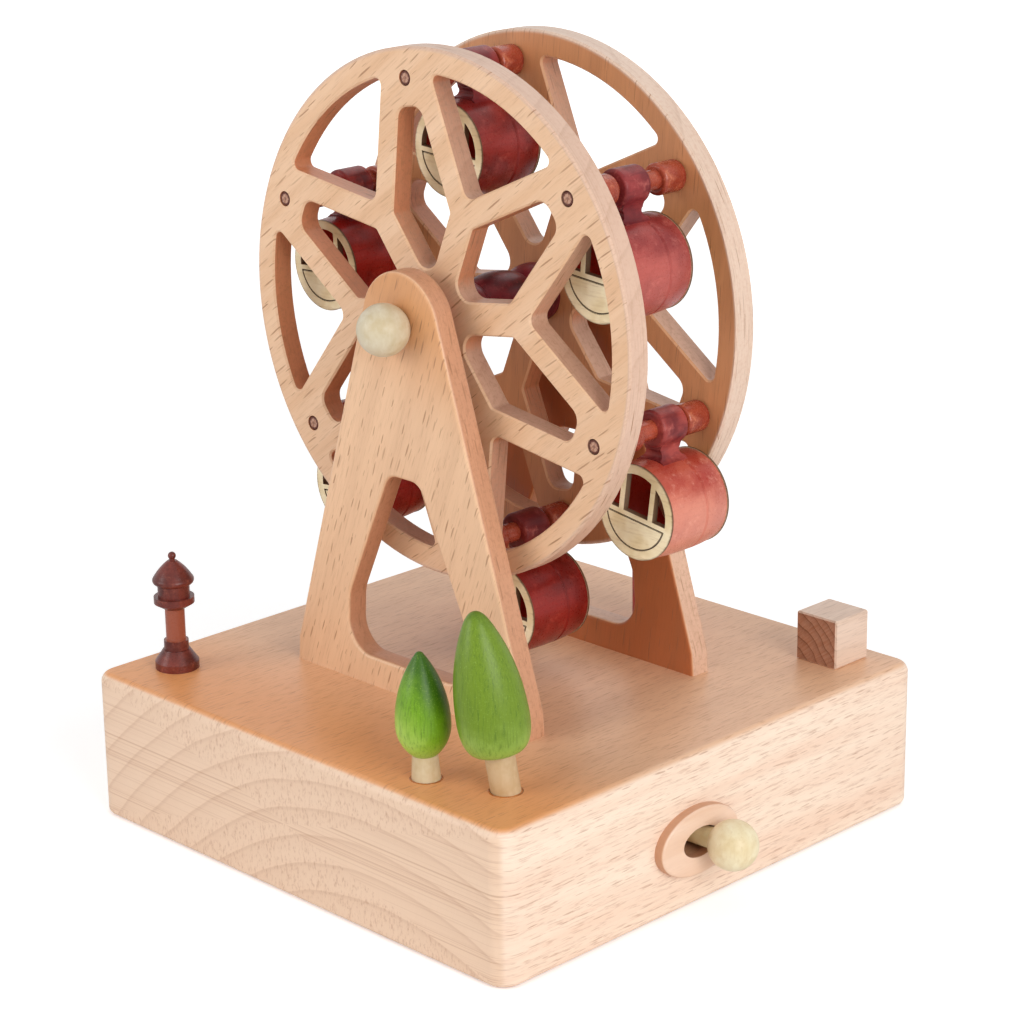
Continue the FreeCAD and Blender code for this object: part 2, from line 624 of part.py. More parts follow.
def hub_spool():
    """The turned spool between the wheels: a bead at each end and one in the middle."""
    end = WHEEL_INNER
    neck = end - SPOOL_NECK_FROM_END
    bead = end - SPOOL_END_BEAD_FROM_END
    bore = AXLE_RADIUS + GLUE_FIT
    profile = [(bore, -end), (SPOOL_END_RADIUS, -end),
               (SPOOL_BEAD_RADIUS, -bead, SPOOL_NECK_RADIUS, -neck),
               (SPOOL_BEAD_RADIUS, 0, SPOOL_NECK_RADIUS, neck),
               (SPOOL_BEAD_RADIUS, bead, SPOOL_END_RADIUS, end), (bore, end)]
    return turned(profile, TOWER, Y_AXIS)


def washer(side):
    inner = AXLE_RADIUS + GLUE_FIT
    y0 = WHEEL_OUTER
    y1 = SUPPORT_INNER - FACE_GAP
    profile = [(inner, y0), (WASHER_RADIUS, y0), (WASHER_RADIUS, y1), (inner, y1)]
    return turned(profile, TOWER, Y_AXIS * side)


def wheel_rod(index):
    """A turned rod: a pin, a collar, the thin middle that carries a gondola, a collar, a pin."""
    collar = WHEEL_INNER
    middle = collar - ROD_COLLAR_LENGTH
    end = WHEEL_OUTER - ROD_PIN_RECESS
    soft = ROD_COLLAR_ROUND
    bulge = soft * (1 - math.sqrt(0.5))
    big = ROD_COLLAR_RADIUS
    half = [(ROD_PIN_RADIUS, end), (ROD_PIN_RADIUS, collar), (big - soft, collar),
            (big - bulge, collar - bulge, big, collar - soft), (big, middle + soft),
            (big - bulge, middle + bulge, big - soft, middle), (ROD_MIDDLE_RADIUS, middle)]
    mirrored = [(ROD_MIDDLE_RADIUS, -middle), (big - soft, -middle),
                (big - bulge, -middle - bulge, big, -middle - soft), (big, -collar + soft),
                (big - bulge, -collar + bulge, big - soft, -collar), (ROD_PIN_RADIUS, -collar),
                (ROD_PIN_RADIUS, -end)]
    profile = [(0, end)] + half + mirrored + [(0, -end)]
    return turned(profile, rod_place(index), Y_AXIS)


# ---------------------------------------------------------------- gondolas
def gondola_centre(index):
    return rod_place(index) + V(0, GONDOLA_SLIDES[index], -GONDOLA_DROP)


def drum_profile(inner):
    half = GONDOLA_LENGTH / 2 - PLATE_PROUD
    groove = DRUM_GROOVE_BEHIND
    edge = DRUM_BELLY_RADIUS - (DRUM_BELLY_RADIUS - DRUM_END_RADIUS) * (groove / half) ** 2
    front = groove - DRUM_GROOVE_HALF
    back = groove + DRUM_GROOVE_HALF
    before = (DRUM_END_RADIUS + DRUM_BELLY_RADIUS * 3) / 4
    return [(inner, -half), (DRUM_END_RADIUS, -half), (before, -half / 2, edge, front),
            (edge - DRUM_GROOVE_DEPTH, groove), (edge, back),
            (before, (half + back) / 2, DRUM_END_RADIUS, half), (inner, half)]


def gondola_drum(index):
    """The hollow barrel-shaped body of a gondola."""
    return turned(drum_profile(DRUM_BORE_RADIUS), gondola_centre(index), Y_AXIS)


def hanger_neck():
    """The neck between ring and drum about the rod's axis, hollowed so that it runs into both."""
    ring_reach = HANGER_RADIUS + NECK_SIDE_SCOOP
    drum_reach = DRUM_BELLY_RADIUS + NECK_SIDE_SCOOP
    scoop_z = (drum_reach ** 2 - ring_reach ** 2 - GONDOLA_DROP ** 2) / (2 * GONDOLA_DROP)
    scoop_x = math.sqrt(ring_reach ** 2 - scoop_z ** 2)
    foot_x = scoop_x * DRUM_BELLY_RADIUS / drum_reach
    top_z = scoop_z * HANGER_RADIUS / ring_reach
    crown_z = DRUM_BELLY_RADIUS - GONDOLA_DROP
    waist_z = (crown_z - HANGER_RADIUS) / 2
    hollow = (-HANGER_RADIUS - crown_z) / 2
    foot_y = NECK_WAIST_Y + hollow
    ring_y = HANGER_LENGTH / 2 - HANGER_ROUND
    body = fuse([box(-foot_x, foot_x, -foot_y, foot_y, -GONDOLA_DROP, waist_z),
                 box(-foot_x, foot_x, -ring_y, ring_y, waist_z, top_z)])
    long = GONDOLA_LENGTH
    scoops = [rod(NECK_SIDE_SCOOP, V(side * scoop_x, -long, scoop_z), V(side * scoop_x, long, scoop_z))
              for side in (-1, 1)]
    scoops += [rod(hollow, V(-long, side * foot_y, waist_z), V(long, side * foot_y, waist_z))
               for side in (-1, 1)]
    return cut(body, scoops)


def gondola_hanger(index):
    """The ring that turns on the rod, with the neck that stands on the drum."""
    centre = rod_place(index) + V(0, GONDOLA_SLIDES[index] - HANGER_SHIFT, 0)
    half = HANGER_LENGTH / 2
    ring = rod(HANGER_RADIUS, centre - Y_AXIS * half, centre + Y_AXIS * half)
    ring = ring.makeFillet(HANGER_ROUND, [edge for edge in ring.Edges if len(edge.Vertexes) == 1])
    neck = hanger_neck()
    neck.translate(centre)
    neck = neck.cut(turned([(0, -GONDOLA_LENGTH)] + drum_profile(0)[1:-1] + [(0, GONDOLA_LENGTH)],
                           gondola_centre(index), Y_AXIS))
    neck = max(neck.Solids, key=lambda solid: solid.BoundBox.ZMax)
    bore = rod(ROD_MIDDLE_RADIUS + RUNNING_FIT, centre - Y_AXIS * half, centre + Y_AXIS * half)
    return ring.fuse(neck).cut(bore).removeSplitter()


def end_plate(index, side):
    """A round end plate with three windows over a plain panel; side is -1 in front and 1 behind."""
    half = GONDOLA_LENGTH / 2
    inner = half - PLATE_THICK
    low, high = sorted((side * inner, side * half))
    disc = fuse([rod(PLATE_RADIUS, V(0, side * (half - PLATE_PROUD), 0), V(0, side * half, 0)),
                 rod(DRUM_BORE_RADIUS - GLUE_FIT, V(0, side * inner, 0), V(0, side * half, 0))])
    light = rod(WINDOW_RADIUS, V(0, low, 0), V(0, high, 0))
    reach = PLATE_RADIUS
    sill = -WINDOW_SILL_DROP
    bar = WINDOW_MIDDLE_WIDTH / 2
    strips = [(-reach, -bar - MULLION_WIDTH), (-bar, bar), (bar + MULLION_WIDTH, reach)]
    panes = [light.common(box(x0, x1, low, high, sill, reach)) for x0, x1 in strips]
    face = sorted((side * half, side * (half - PANEL_GROOVE_DEPTH)))
    line = sill - SILL_HEIGHT
    ring = rod(WINDOW_RADIUS, V(0, face[0], 0), V(0, face[1], 0))
    core = rod(WINDOW_RADIUS - PANEL_GROOVE_WIDTH, V(0, face[0], 0), V(0, face[1], 0))
    below = box(-reach, reach, face[0], face[1], -reach, line)
    groove = ring.cut(core).common(below)
    rule = ring.common(box(-reach, reach, face[0], face[1], line - PANEL_GROOVE_WIDTH, line))
    plate = cut(disc, panes + [groove.fuse(rule)])
    plate.rotate(ORIGIN, Y_AXIS, -PLATE_TURNS[index])
    plate.translate(gondola_centre(index))
    return plate


def gondola_end_plates(index):
    return Part.makeCompound([end_plate(index, side) for side in (-1, 1)])


# ------------------------------------------------------ things on the base
def lamp_place():
    return V(LEFT + LAMP_FROM_LEFT, FRONT + LAMP_FROM_FRONT, BASE_TOP)


def lamp_post():
    """A turned lamp post: a coned foot, a ring, a collar, a lantern body and an arched roof."""
    stem = LAMP_STEM_RADIUS
    roof_run = LAMP_ROOF_RIM_RADIUS - LAMP_ROOF_TOP_RADIUS
    roof_rise = LAMP_ROOF_TOP - LAMP_ROOF_RIM_TOP
    out = LAMP_ROOF_BULGE / math.hypot(roof_run, roof_rise)
    roof_middle = ((LAMP_ROOF_RIM_RADIUS + LAMP_ROOF_TOP_RADIUS) / 2 + out * roof_rise,
                   (LAMP_ROOF_RIM_TOP + LAMP_ROOF_TOP) / 2 + out * roof_run)
    finial = LAMP_FINIAL_NECK_TOP + math.sqrt(LAMP_FINIAL_RADIUS ** 2 - LAMP_FINIAL_NECK_RADIUS ** 2)
    profile = [(0, -LAMP_SPIGOT_LENGTH), (LAMP_SPIGOT_RADIUS, -LAMP_SPIGOT_LENGTH), (LAMP_SPIGOT_RADIUS, 0),
               (LAMP_FOOT_RADIUS, 0), (LAMP_FOOT_RADIUS, LAMP_FOOT_THICK),
               (LAMP_FOOT_TOP_RADIUS, LAMP_RING_START), (LAMP_RING_RADIUS, LAMP_RING_START),
               (LAMP_RING_RADIUS, LAMP_RING_TOP), (stem, LAMP_RING_TOP),
               (stem, LAMP_COLLAR_START), (LAMP_COLLAR_RADIUS, LAMP_COLLAR_EDGE),
               (LAMP_COLLAR_RADIUS, LAMP_COLLAR_TOP), (LAMP_BODY_RADIUS, LAMP_COLLAR_TOP),
               (LAMP_BODY_RADIUS, LAMP_BODY_TOP),
               (LAMP_ROOF_RADIUS, LAMP_ROOF_WIDEST, LAMP_ROOF_RIM_RADIUS, LAMP_ROOF_RIM_TOP),
               (*roof_middle, LAMP_ROOF_TOP_RADIUS, LAMP_ROOF_TOP),
               (LAMP_FINIAL_NECK_RADIUS, LAMP_ROOF_TOP), (LAMP_FINIAL_NECK_RADIUS, LAMP_FINIAL_NECK_TOP),
               (LAMP_FINIAL_RADIUS, finial, 0, finial + LAMP_FINIAL_RADIUS)]
    return turned(profile, lamp_place(), Z_AXIS)


def tree_axis(tree):
    """The way up along a tree, which leans a little."""
    heading = math.radians(TREE_LEAN_HEADING)
    lean = math.radians(tree["lean"])
    return V(math.sin(lean) * math.cos(heading), math.sin(lean) * math.sin(heading), math.cos(lean))


def tree_foot(tree):
    return V(RIGHT - tree["from_right"], FRONT + tree["from_front"], BASE_TOP)


def tree_socket(tree):
    up = tree_axis(tree)
    foot = tree_foot(tree)
    radius = tree["foot_radius"]
    return rod(radius + TREE_SOCKET_GAP, foot - up * TREE_SOCKET_DEPTH, foot + up * radius)


def tree_trunk(tree):
    """The trunk with its tenon; it narrows above the base where its two radii differ."""
    low = tree["foot_radius"]
    top = tree["trunk"]
    profile = [(0, -TREE_SOCKET_DEPTH), (low, -TREE_SOCKET_DEPTH), (low, 0), (tree["trunk_radius"], top),
               (TREE_TENON_RADIUS, top), (TREE_TENON_RADIUS, top + TREE_TENON_LENGTH),
               (0, top + TREE_TENON_LENGTH)]
    return turned(profile, tree_foot(tree), tree_axis(tree))


def side_arc(wide, widest, radius, height):
    """The middle point of an arc that is upright at (wide, widest) and ends at (radius, height)."""
    inward = wide - radius
    rise = height - widest
    arc_radius = (inward ** 2 + rise ** 2) / (2 * inward)
    half_turn = math.asin(rise / arc_radius) / 2
    return wide - arc_radius * (1 - math.cos(half_turn)), widest + arc_radius * math.sin(half_turn)


def on_tip(tree, degrees):
    """The (radius, height) of a point on the crown's ball-shaped tip, at an angle above its centre."""
    radius = tree["tip_radius"]
    rise = math.radians(degrees)
    return radius * math.cos(rise), tree["crown"] - radius + radius * math.sin(rise)


def tree_crown(tree):
    """A pointed crown: an arc from the foot to the widest ring, one from there to the rounded tip."""
    wide = tree["crown_radius"]
    foot = tree["crown_foot_radius"]
    widest = tree["widest"]
    slope = tree["tip_slope"]
    bore = TREE_TENON_RADIUS + GLUE_FIT
    deep = TREE_TENON_LENGTH + DOWEL_END_GAP
    tip = on_tip(tree, slope)
    low = side_arc(wide, widest, foot, 0)
    high = side_arc(wide, widest, *tip)
    profile = [(0, deep), (bore, deep), (bore, 0), (foot, 0), (*low, wide, widest), (*high, *tip),
               (*on_tip(tree, (slope + 90) / 2), 0, tree["crown"])]
    up = tree_axis(tree)
    return turned(profile, tree_foot(tree) + up * tree["trunk"], up)


def corner_cube():
    half = CUBE_SIDE / 2
    cube = box(-half, half, -half, half, 0, CUBE_SIDE)
    cube.translate(V(RIGHT - CUBE_FROM_RIGHT, BACK - CUBE_FROM_BACK, BASE_TOP))
    return cube.makeChamfer(CUBE_CHAMFER, cube.Edges)


def red_peg():
    """A plain turned peg with a domed top."""
    side = PEG_HEIGHT - PEG_DOME
    ball = (PEG_RADIUS ** 2 + PEG_DOME ** 2) / (2 * PEG_DOME)
    half = PEG_RADIUS / 2
    middle = side + PEG_DOME - ball + math.sqrt(ball ** 2 - half ** 2)
    profile = [(0, 0), (PEG_RADIUS - PEG_FOOT_CHAMFER, 0), (PEG_RADIUS, PEG_FOOT_CHAMFER), (PEG_RADIUS, side),
               (half, middle, 0, PEG_HEIGHT)]
    return turned(profile, V(PEG_X, BACK - PEG_FROM_BACK, BASE_TOP), Z_AXIS)


# ------------------------------------------------------------------- lever
def oval_prism(half_y, half_z):
    """An oval of the lever plate's thickness, standing on the base's face round the lever's place."""
    centre = V(FACE_X, LEVER_Y, LEVER_Z)
    oval = Part.Ellipse(centre + Y_AXIS * half_y, centre + Z_AXIS * half_z, centre)
    return Part.Face(Part.Wire(oval.toShape())).extrude(X_AXIS * LEVER_PLATE_THICK)


def lever_plate():
    """The oval plate round the lever's oval slot."""
    front = FACE_X + LEVER_PLATE_THICK
    plate = oval_prism(LEVER_PLATE_HALF_Y, LEVER_PLATE_HALF_Z)
    plate = plate.makeFillet(LEVER_PLATE_ROUND, edges_at(plate, lambda p: abs(p.x - front) < NEAR))
    return plate.cut(oval_prism(LEVER_SLOT_LENGTH / 2, LEVER_SLOT_HEIGHT / 2))


def lever_ball_centre():
    reach = FACE_X + LEVER_BALL_STAND - LEVER_PIVOT_X
    return LEVER_PIVOT + LEVER_DIRECTION * (reach / LEVER_DIRECTION.x)


def lever_arm():
    """The lever: an eye on the pivot screw, a stem out to the ball and a tail to the governor."""
    eye_half = Z_AXIS * LEVER_EYE_HALF_HEIGHT
    eye = rod(LEVER_EYE_RADIUS, LEVER_PIVOT - eye_half, LEVER_PIVOT + eye_half)
    stem = rod(LEVER_STEM_RADIUS, LEVER_PIVOT, lever_ball_centre())
    tail = rod(LEVER_TAIL_RADIUS, LEVER_PIVOT, LEVER_PIVOT - LEVER_DIRECTION * LEVER_TAIL_LENGTH)
    tall = Z_AXIS * LEVER_EYE_RADIUS
    bore = rod(LEVER_PIVOT_RADIUS + RUNNING_FIT, LEVER_PIVOT - tall, LEVER_PIVOT + tall)
    return fuse([eye, stem, tail]).cut(bore)


def lever_knob():
    """The ball on the lever's end, bored to its middle for the stem."""
    ball = lever_ball_centre()
    bore = rod(LEVER_STEM_RADIUS + GLUE_FIT, ball - LEVER_DIRECTION * 2 * LEVER_BALL_RADIUS, ball)
    return Part.makeSphere(LEVER_BALL_RADIUS, ball).cut(bore)


def lever_pivot_screw():
    """The shoulder screw that the lever turns on, with a collar under the lever's eye."""
    foot = V(LEVER_PIVOT.x, LEVER_PIVOT.y, BED_TOP)
    eye_low = LEVER_Z - LEVER_EYE_HALF_HEIGHT - FACE_GAP / 2
    eye_high = LEVER_Z + LEVER_EYE_HALF_HEIGHT + FACE_GAP / 2
    collar = rod(SCREW_HEAD_RADIUS, foot, V(foot.x, foot.y, eye_low))
    shoulder = rod(LEVER_PIVOT_RADIUS, foot, V(foot.x, foot.y, eye_high))
    head = screw(V(foot.x, foot.y, eye_high), -Z_AXIS, SCREW_SLOT, SCREW_HEAD_RADIUS, LEVER_PIVOT_RADIUS)
    return fuse([collar, shoulder, head])


# ---------------------------------------------------------- music movement
def bedplate_screw_places():
    inset = BEDPLATE_SCREW_INSET
    return [V(x, side * (BEDPLATE_HALF_Y - inset), BED_TOP)
            for x in (BEDPLATE_X0 + inset, BEDPLATE_X1 - inset) for side in (-1, 1)]


def comb_screw_places():
    step = (CYLINDER_X1 - CYLINDER_X0) / COMB_SCREWS
    y = (COMB_BODY_Y + COMB_END_Y) / 2
    top = CYLINDER_Z + COMB_THICK / 2
    return [V(CYLINDER_X0 + step * (index + 0.5), y, top) for index in range(COMB_SCREWS)]


def movement_bedplate():
    """The bedplate with two ears for the cylinder and a boss for the comb."""
    plate = box(BEDPLATE_X0, BEDPLATE_X1, -BEDPLATE_HALF_Y, BEDPLATE_HALF_Y, COVER_TOP, BED_TOP)
    middle = (BEDPLATE_X0 + BEDPLATE_X1) / 2
    half = BEDPLATE_X1 - middle
    plate = plate.makeFillet(BEDPLATE_CORNER, edges_at(plate, lambda p: abs(abs(p.x - middle) - half) < NEAR
                                                       and abs(abs(p.y) - BEDPLATE_HALF_Y) < NEAR))
    ear_top = CYLINDER_Z + CYLINDER_EAR_ABOVE
    first = CYLINDER_X0 - CYLINDER_EAR_GAP - CYLINDER_EAR_THICK
    second = CYLINDER_X1 + CYLINDER_EAR_GAP
    ears = [box(x, x + CYLINDER_EAR_THICK, -CYLINDER_EAR_HALF, CYLINDER_EAR_HALF, BED_TOP, ear_top)
            for x in (first, second)]
    boss = box(CYLINDER_X0, CYLINDER_X1, COMB_BODY_Y, COMB_END_Y, BED_TOP, CYLINDER_Z - COMB_THICK / 2)
    body = fuse([plate, boss] + ears)
    holes = [rod(CYLINDER_ARBOR_RADIUS + RUNNING_FIT, V(first - FACE_GAP, 0, CYLINDER_Z),
                 V(second + 2 * CYLINDER_EAR_THICK, 0, CYLINDER_Z)),
             rod(KEY_SHAFT_RADIUS + RUNNING_FIT, V(BARREL_X, 0, 0), V(BARREL_X, 0, BASE_HEIGHT))]
    holes += [rod(SCREW_RADIUS + GLUE_FIT, place, place - Z_AXIS * BASE_HEIGHT)
              for place in bedplate_screw_places()]
    holes += [rod(SCREW_RADIUS + GLUE_FIT, place, place - Z_AXIS * (COMB_THICK + SCREW_BITE / 2))
              for place in comb_screw_places()]
    return cut(body, holes)


def movement_screws():
    bite = BEDPLATE_THICK + COVER_WEB
    return Part.makeCompound([screw(place, -Z_AXIS, bite) for place in bedplate_screw_places()])


def comb():
    """The steel comb: sawn teeth, longer for the low notes."""
    low = CYLINDER_Z - COMB_THICK / 2
    tip = CYLINDER_RADIUS + PIN_HEIGHT + COMB_PIN_GAP
    blank = box(CYLINDER_X0, CYLINDER_X1, tip, COMB_END_Y, low, low + COMB_THICK)
    pitch = (CYLINDER_X1 - CYLINDER_X0) / COMB_TEETH
    tools = []
    for index in range(COMB_TEETH):
        share = index / (COMB_TEETH - 1)
        root = tip + COMB_LONGEST + (COMB_SHORTEST - COMB_LONGEST) * share
        at = CYLINDER_X0 + pitch * (index + 1)
        if index < COMB_TEETH - 1:
            tools.append(box(at - COMB_SAW / 2, at + COMB_SAW / 2, tip, root, low, low + COMB_THICK))
    tools += [rod(SCREW_RADIUS + GLUE_FIT, place, place - Z_AXIS * COMB_THICK)
              for place in comb_screw_places()]
    return cut(blank, tools)


def comb_screws():
    bite = COMB_THICK + SCREW_BITE / 2 - DOWEL_END_GAP
    return Part.makeCompound([screw(place, -Z_AXIS, bite, COMB_SCREW_HEAD)
                              for place in comb_screw_places()])


def spring_barrel():
    """The flat spring barrel with a crown of teeth on its upper rim and the shaft that the key turns."""
    top = BARREL_Z0 + BARREL_HEIGHT
    inner = CROWN_RADIUS - GEAR_FACE / 2
    profile = [(0, KEY_TOP), (KEY_SHAFT_RADIUS, KEY_TOP), (KEY_SHAFT_RADIUS, BARREL_Z0),
               (BARREL_RADIUS, BARREL_Z0), (BARREL_RADIUS, top), (inner, top), (inner, top - BARREL_LIP),
               (BARREL_BOSS_RADIUS, top - BARREL_LIP), (BARREL_BOSS_RADIUS, top), (0, top)]
    centre = V(BARREL_X, 0, 0)
    body = turned(profile, centre, Z_AXIS)
    height = GEAR_DEDENDUM + GEAR_ADDENDUM
    teeth = []
    for index in range(CROWN_TEETH):
        tooth = box(inner + CROWN_TOOTH_INSET, inner + GEAR_FACE, -GEAR_TOOTH_WIDTH / 2, GEAR_TOOTH_WIDTH / 2,
                    top - CROWN_TOOTH_INSET, top + height)
        tooth.rotate(ORIGIN, Z_AXIS, 360.0 / CROWN_TEETH * (index + 0.5))
        tooth.translate(centre)
        teeth.append(tooth)
    return body.multiFuse(teeth)


def music_cylinder():
    """The pinned cylinder on its arbor, with the pinion that rides on the barrel's crown."""
    axis = V(0, 0, CYLINDER_Z)
    pinion_x0 = PINION_X - GEAR_FACE / 2
    end = CYLINDER_X1 + CYLINDER_EAR_GAP + CYLINDER_EAR_THICK + FACE_GAP
    arbor = rod(CYLINDER_ARBOR_RADIUS, axis + X_AXIS * pinion_x0, axis + X_AXIS * end)
    drum = rod(CYLINDER_RADIUS, axis + X_AXIS * CYLINDER_X0, axis + X_AXIS * CYLINDER_X1)
    pinion_x1 = pinion_x0 + GEAR_FACE
    hub = rod(PINION_RADIUS - GEAR_DEDENDUM, axis + X_AXIS * pinion_x0, axis + X_AXIS * pinion_x1)
    parts = [drum, arbor, hub]
    tip = PINION_RADIUS + GEAR_ADDENDUM
    for index in range(PINION_TEETH):
        tooth = box(pinion_x0, pinion_x1, -GEAR_TOOTH_WIDTH / 2, GEAR_TOOTH_WIDTH / 2, -tip, 0)
        tooth.rotate(ORIGIN, X_AXIS, 360.0 / PINION_TEETH * index)
        tooth.translate(axis)
        parts.append(tooth)
    pitch = (CYLINDER_X1 - CYLINDER_X0) / COMB_TEETH
    for track in range(COMB_TEETH):
        for turn in range(PIN_ROUNDS):
            root = CYLINDER_RADIUS - PIN_HEIGHT
            pin = rod(PIN_RADIUS, Z_AXIS * root, Z_AXIS * (CYLINDER_RADIUS + PIN_HEIGHT))
            pin.rotate(ORIGIN, X_AXIS, PIN_STEP * track + 360.0 / PIN_ROUNDS * turn)
            pin.translate(axis + X_AXIS * (CYLINDER_X0 + pitch * (track + 0.5)))
            parts.append(pin)
    return parts[0].multiFuse(parts[1:])


def winding_key():
    """The wing key in the cover's pocket."""
    low = KEY_FLOOR_GAP
    high = low + KEY_WING_HEIGHT
    half = KEY_WING_HALF
    waist = KEY_WING_WAIST
    notch = low + KEY_WING_NOTCH
    corners = [(-half, low, KEY_TIP_ROUND), (-waist, notch, KEY_WAIST_ROUND), (waist, notch, KEY_WAIST_ROUND),
               (half, low, KEY_TIP_ROUND), (half, high, KEY_TIP_ROUND), (-half, high, KEY_TIP_ROUND)]
    wing = board_between(corners, -KEY_WING_THICK / 2, KEY_WING_THICK / 2, V(BARREL_X, 0, 0))
    boss = rod(KEY_BOSS_RADIUS, V(BARREL_X, 0, low), V(BARREL_X, 0, KEY_TOP))
    return fuse([boss, wing])


def fly_axis():
    """The place of the governor's spindle: the lever's tail rests just short of its disc."""
    tail = LEVER_PIVOT - LEVER_DIRECTION * LEVER_TAIL_LENGTH
    return V(FLY_X, tail.y - LEVER_TAIL_RADIUS - BRAKE_GAP - FLY_DISC_RADIUS, 0)


def governor_frame():
    """The bracket that holds the governor's spindle above and below the blades."""
    axis = fly_axis()
    web = axis.x - GOVERNOR_BACK
    y0 = axis.y - GOVERNOR_HALF_Y
    y1 = axis.y + GOVERNOR_HALF_Y
    arm_low = LEVER_Z + LEVER_TAIL_RADIUS + FACE_GAP
    front = axis.x + GOVERNOR_HALF_Y
    arm_high = FLY_TOP_Z - GOVERNOR_PLATE
    frame = fuse([box(web, web + GOVERNOR_PLATE, y0, y1, BED_TOP, FLY_TOP_Z),
                  box(web, front, y0, y1, arm_low, arm_low + GOVERNOR_PLATE),
                  box(web, front, y0, y1, arm_high, FLY_TOP_Z)])
    return frame.cut(rod(FLY_SPINDLE_RADIUS + RUNNING_FIT, axis, axis + Z_AXIS * BASE_HEIGHT))


def governor_fly():
    """The spindle with its brake disc and two air blades."""
    axis = fly_axis()
    arm_low = LEVER_Z + LEVER_TAIL_RADIUS + FACE_GAP
    blade_low = arm_low + GOVERNOR_PLATE + FACE_GAP
    blade_high = FLY_TOP_Z - GOVERNOR_PLATE - FACE_GAP
    disc_low = LEVER_Z - FLY_DISC_THICK / 2
    spindle = rod(FLY_SPINDLE_RADIUS, axis + Z_AXIS * (BED_TOP + FACE_GAP), axis + Z_AXIS * FLY_TOP_Z)
    disc = rod(FLY_DISC_RADIUS, axis + Z_AXIS * disc_low, axis + Z_AXIS * (disc_low + FLY_DISC_THICK))
    blades = box(-FLY_BLADE_RADIUS, FLY_BLADE_RADIUS, -FLY_BLADE_THICK / 2, FLY_BLADE_THICK / 2,
                 blade_low, blade_high)
    blades.translate(axis)
    return fuse([spindle, disc, blades])


# -------------------------------------------------------------------- nodes
def all_nodes():
    nodes = {
        "base_block": base_block(),
        "bottom_cover": bottom_cover(),
        "bottom_cover_screws": bottom_cover_screws(),
        "front_support": support(-1),
        "rear_support": support(1),
        "support_dowels": support_dowels(),
        "lamp_post": lamp_post(),
        "small_tree_trunk": tree_trunk(SMALL_TREE),
        "small_tree_crown": tree_crown(SMALL_TREE),
        "big_tree_trunk": tree_trunk(BIG_TREE),
        "big_tree_crown": tree_crown(BIG_TREE),
        "corner_cube": corner_cube(),
        "red_peg": red_peg(),
        "lever_plate": lever_plate(),
        "lever_pivot_screw": lever_pivot_screw(),
        "lever_arm": lever_arm(),
        "lever_knob": lever_knob(),
        "movement_bedplate": movement_bedplate(),
        "movement_screws": movement_screws(),
        "comb": comb(),
        "comb_screws": comb_screws(),
        "spring_barrel": spring_barrel(),
        "winding_key": winding_key(),
        "music_cylinder": music_cylinder(),
        "governor_frame": governor_frame(),
        "governor_fly": governor_fly(),
        "front_wheel": wheel(-1),
        "rear_wheel": wheel(1),
        "wheel_axle": wheel_axle(),
        "front_axle_ball": axle_ball(-1),
        "rear_axle_ball": axle_ball(1),
        "hub_spool": hub_spool(),
        "front_washer": washer(-1),
        "rear_washer": washer(1),
    }
    for index in range(ROD_COUNT):
        number = index + 1
        nodes[f"rod_{number}"] = wheel_rod(index)
        nodes[f"gondola_{number}_drum"] = gondola_drum(index)
        nodes[f"gondola_{number}_hanger"] = gondola_hanger(index)
        nodes[f"gondola_{number}_end_plates"] = gondola_end_plates(index)
    return nodes


os.makedirs("parts", exist_ok=True)
for name, shape in all_nodes().items():
    print(f"{name}: {len(shape.Solids)} solid(s), {shape.Volume:.1f} mm3, valid {shape.isValid()}")
    shape.exportStep(f"parts/{name}.step")
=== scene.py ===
"""A wooden ferris wheel toy on a square music-box base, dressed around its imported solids.

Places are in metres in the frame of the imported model: +Z up, the wheel's axle along Y and the music lever
on the +X face. Finishes think in millimetres, because grain, flecks and saw marks are that small.
"""

import logging
import math
from collections.abc import Callable, Iterable
from dataclasses import dataclass, field
from enum import Enum

import bmesh
import bpy
from mathutils import Matrix, Vector
from mathutils.geometry import interpolate_bezier


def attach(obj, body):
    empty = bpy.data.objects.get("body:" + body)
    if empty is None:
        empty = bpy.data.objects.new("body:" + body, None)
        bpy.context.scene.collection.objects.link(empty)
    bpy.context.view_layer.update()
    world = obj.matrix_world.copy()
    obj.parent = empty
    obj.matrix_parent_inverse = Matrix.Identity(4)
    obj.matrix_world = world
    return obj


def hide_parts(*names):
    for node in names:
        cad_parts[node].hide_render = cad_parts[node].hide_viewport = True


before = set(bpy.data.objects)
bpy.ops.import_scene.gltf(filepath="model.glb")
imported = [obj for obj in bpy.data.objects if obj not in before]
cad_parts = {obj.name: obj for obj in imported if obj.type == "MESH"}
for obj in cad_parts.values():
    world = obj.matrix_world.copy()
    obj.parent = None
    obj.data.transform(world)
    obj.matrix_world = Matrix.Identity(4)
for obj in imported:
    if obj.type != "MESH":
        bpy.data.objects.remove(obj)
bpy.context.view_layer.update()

log = logging.getLogger("ferris_wheel")

Colour = tuple[float, float, float]
Triple = tuple[float, float, float]
Pair = tuple[float, float]
Material = bpy.types.Material
Shape = bmesh.types.BMesh
Socket = bpy.types.NodeSocket
Value = Socket | float

MM = 0.001
PER_METRE = 1000.0
SAME_POINT = 1e-7
WELD_GAP = 2e-6
SMOOTH_ANGLE = math.radians(32)
X_WAY: Triple = (1.0, 0.0, 0.0)
Y_WAY: Triple = (0.0, 1.0, 0.0)
Z_WAY: Triple = (0.0, 0.0, 1.0)
WHITE = (1.0, 1.0, 1.0, 1.0)
SIDES = ((-1, "front"), (1, "rear"))


def rgb(red: float, green: float, blue: float) -> Colour:
    """A display colour written 0 to 255, as the linear values that shaders take."""
    return tuple(
        part / 255 / 12.92 if part <= 10 else ((part / 255 + 0.055) / 1.055) ** 2.4 for part in (red, green, blue)
    )


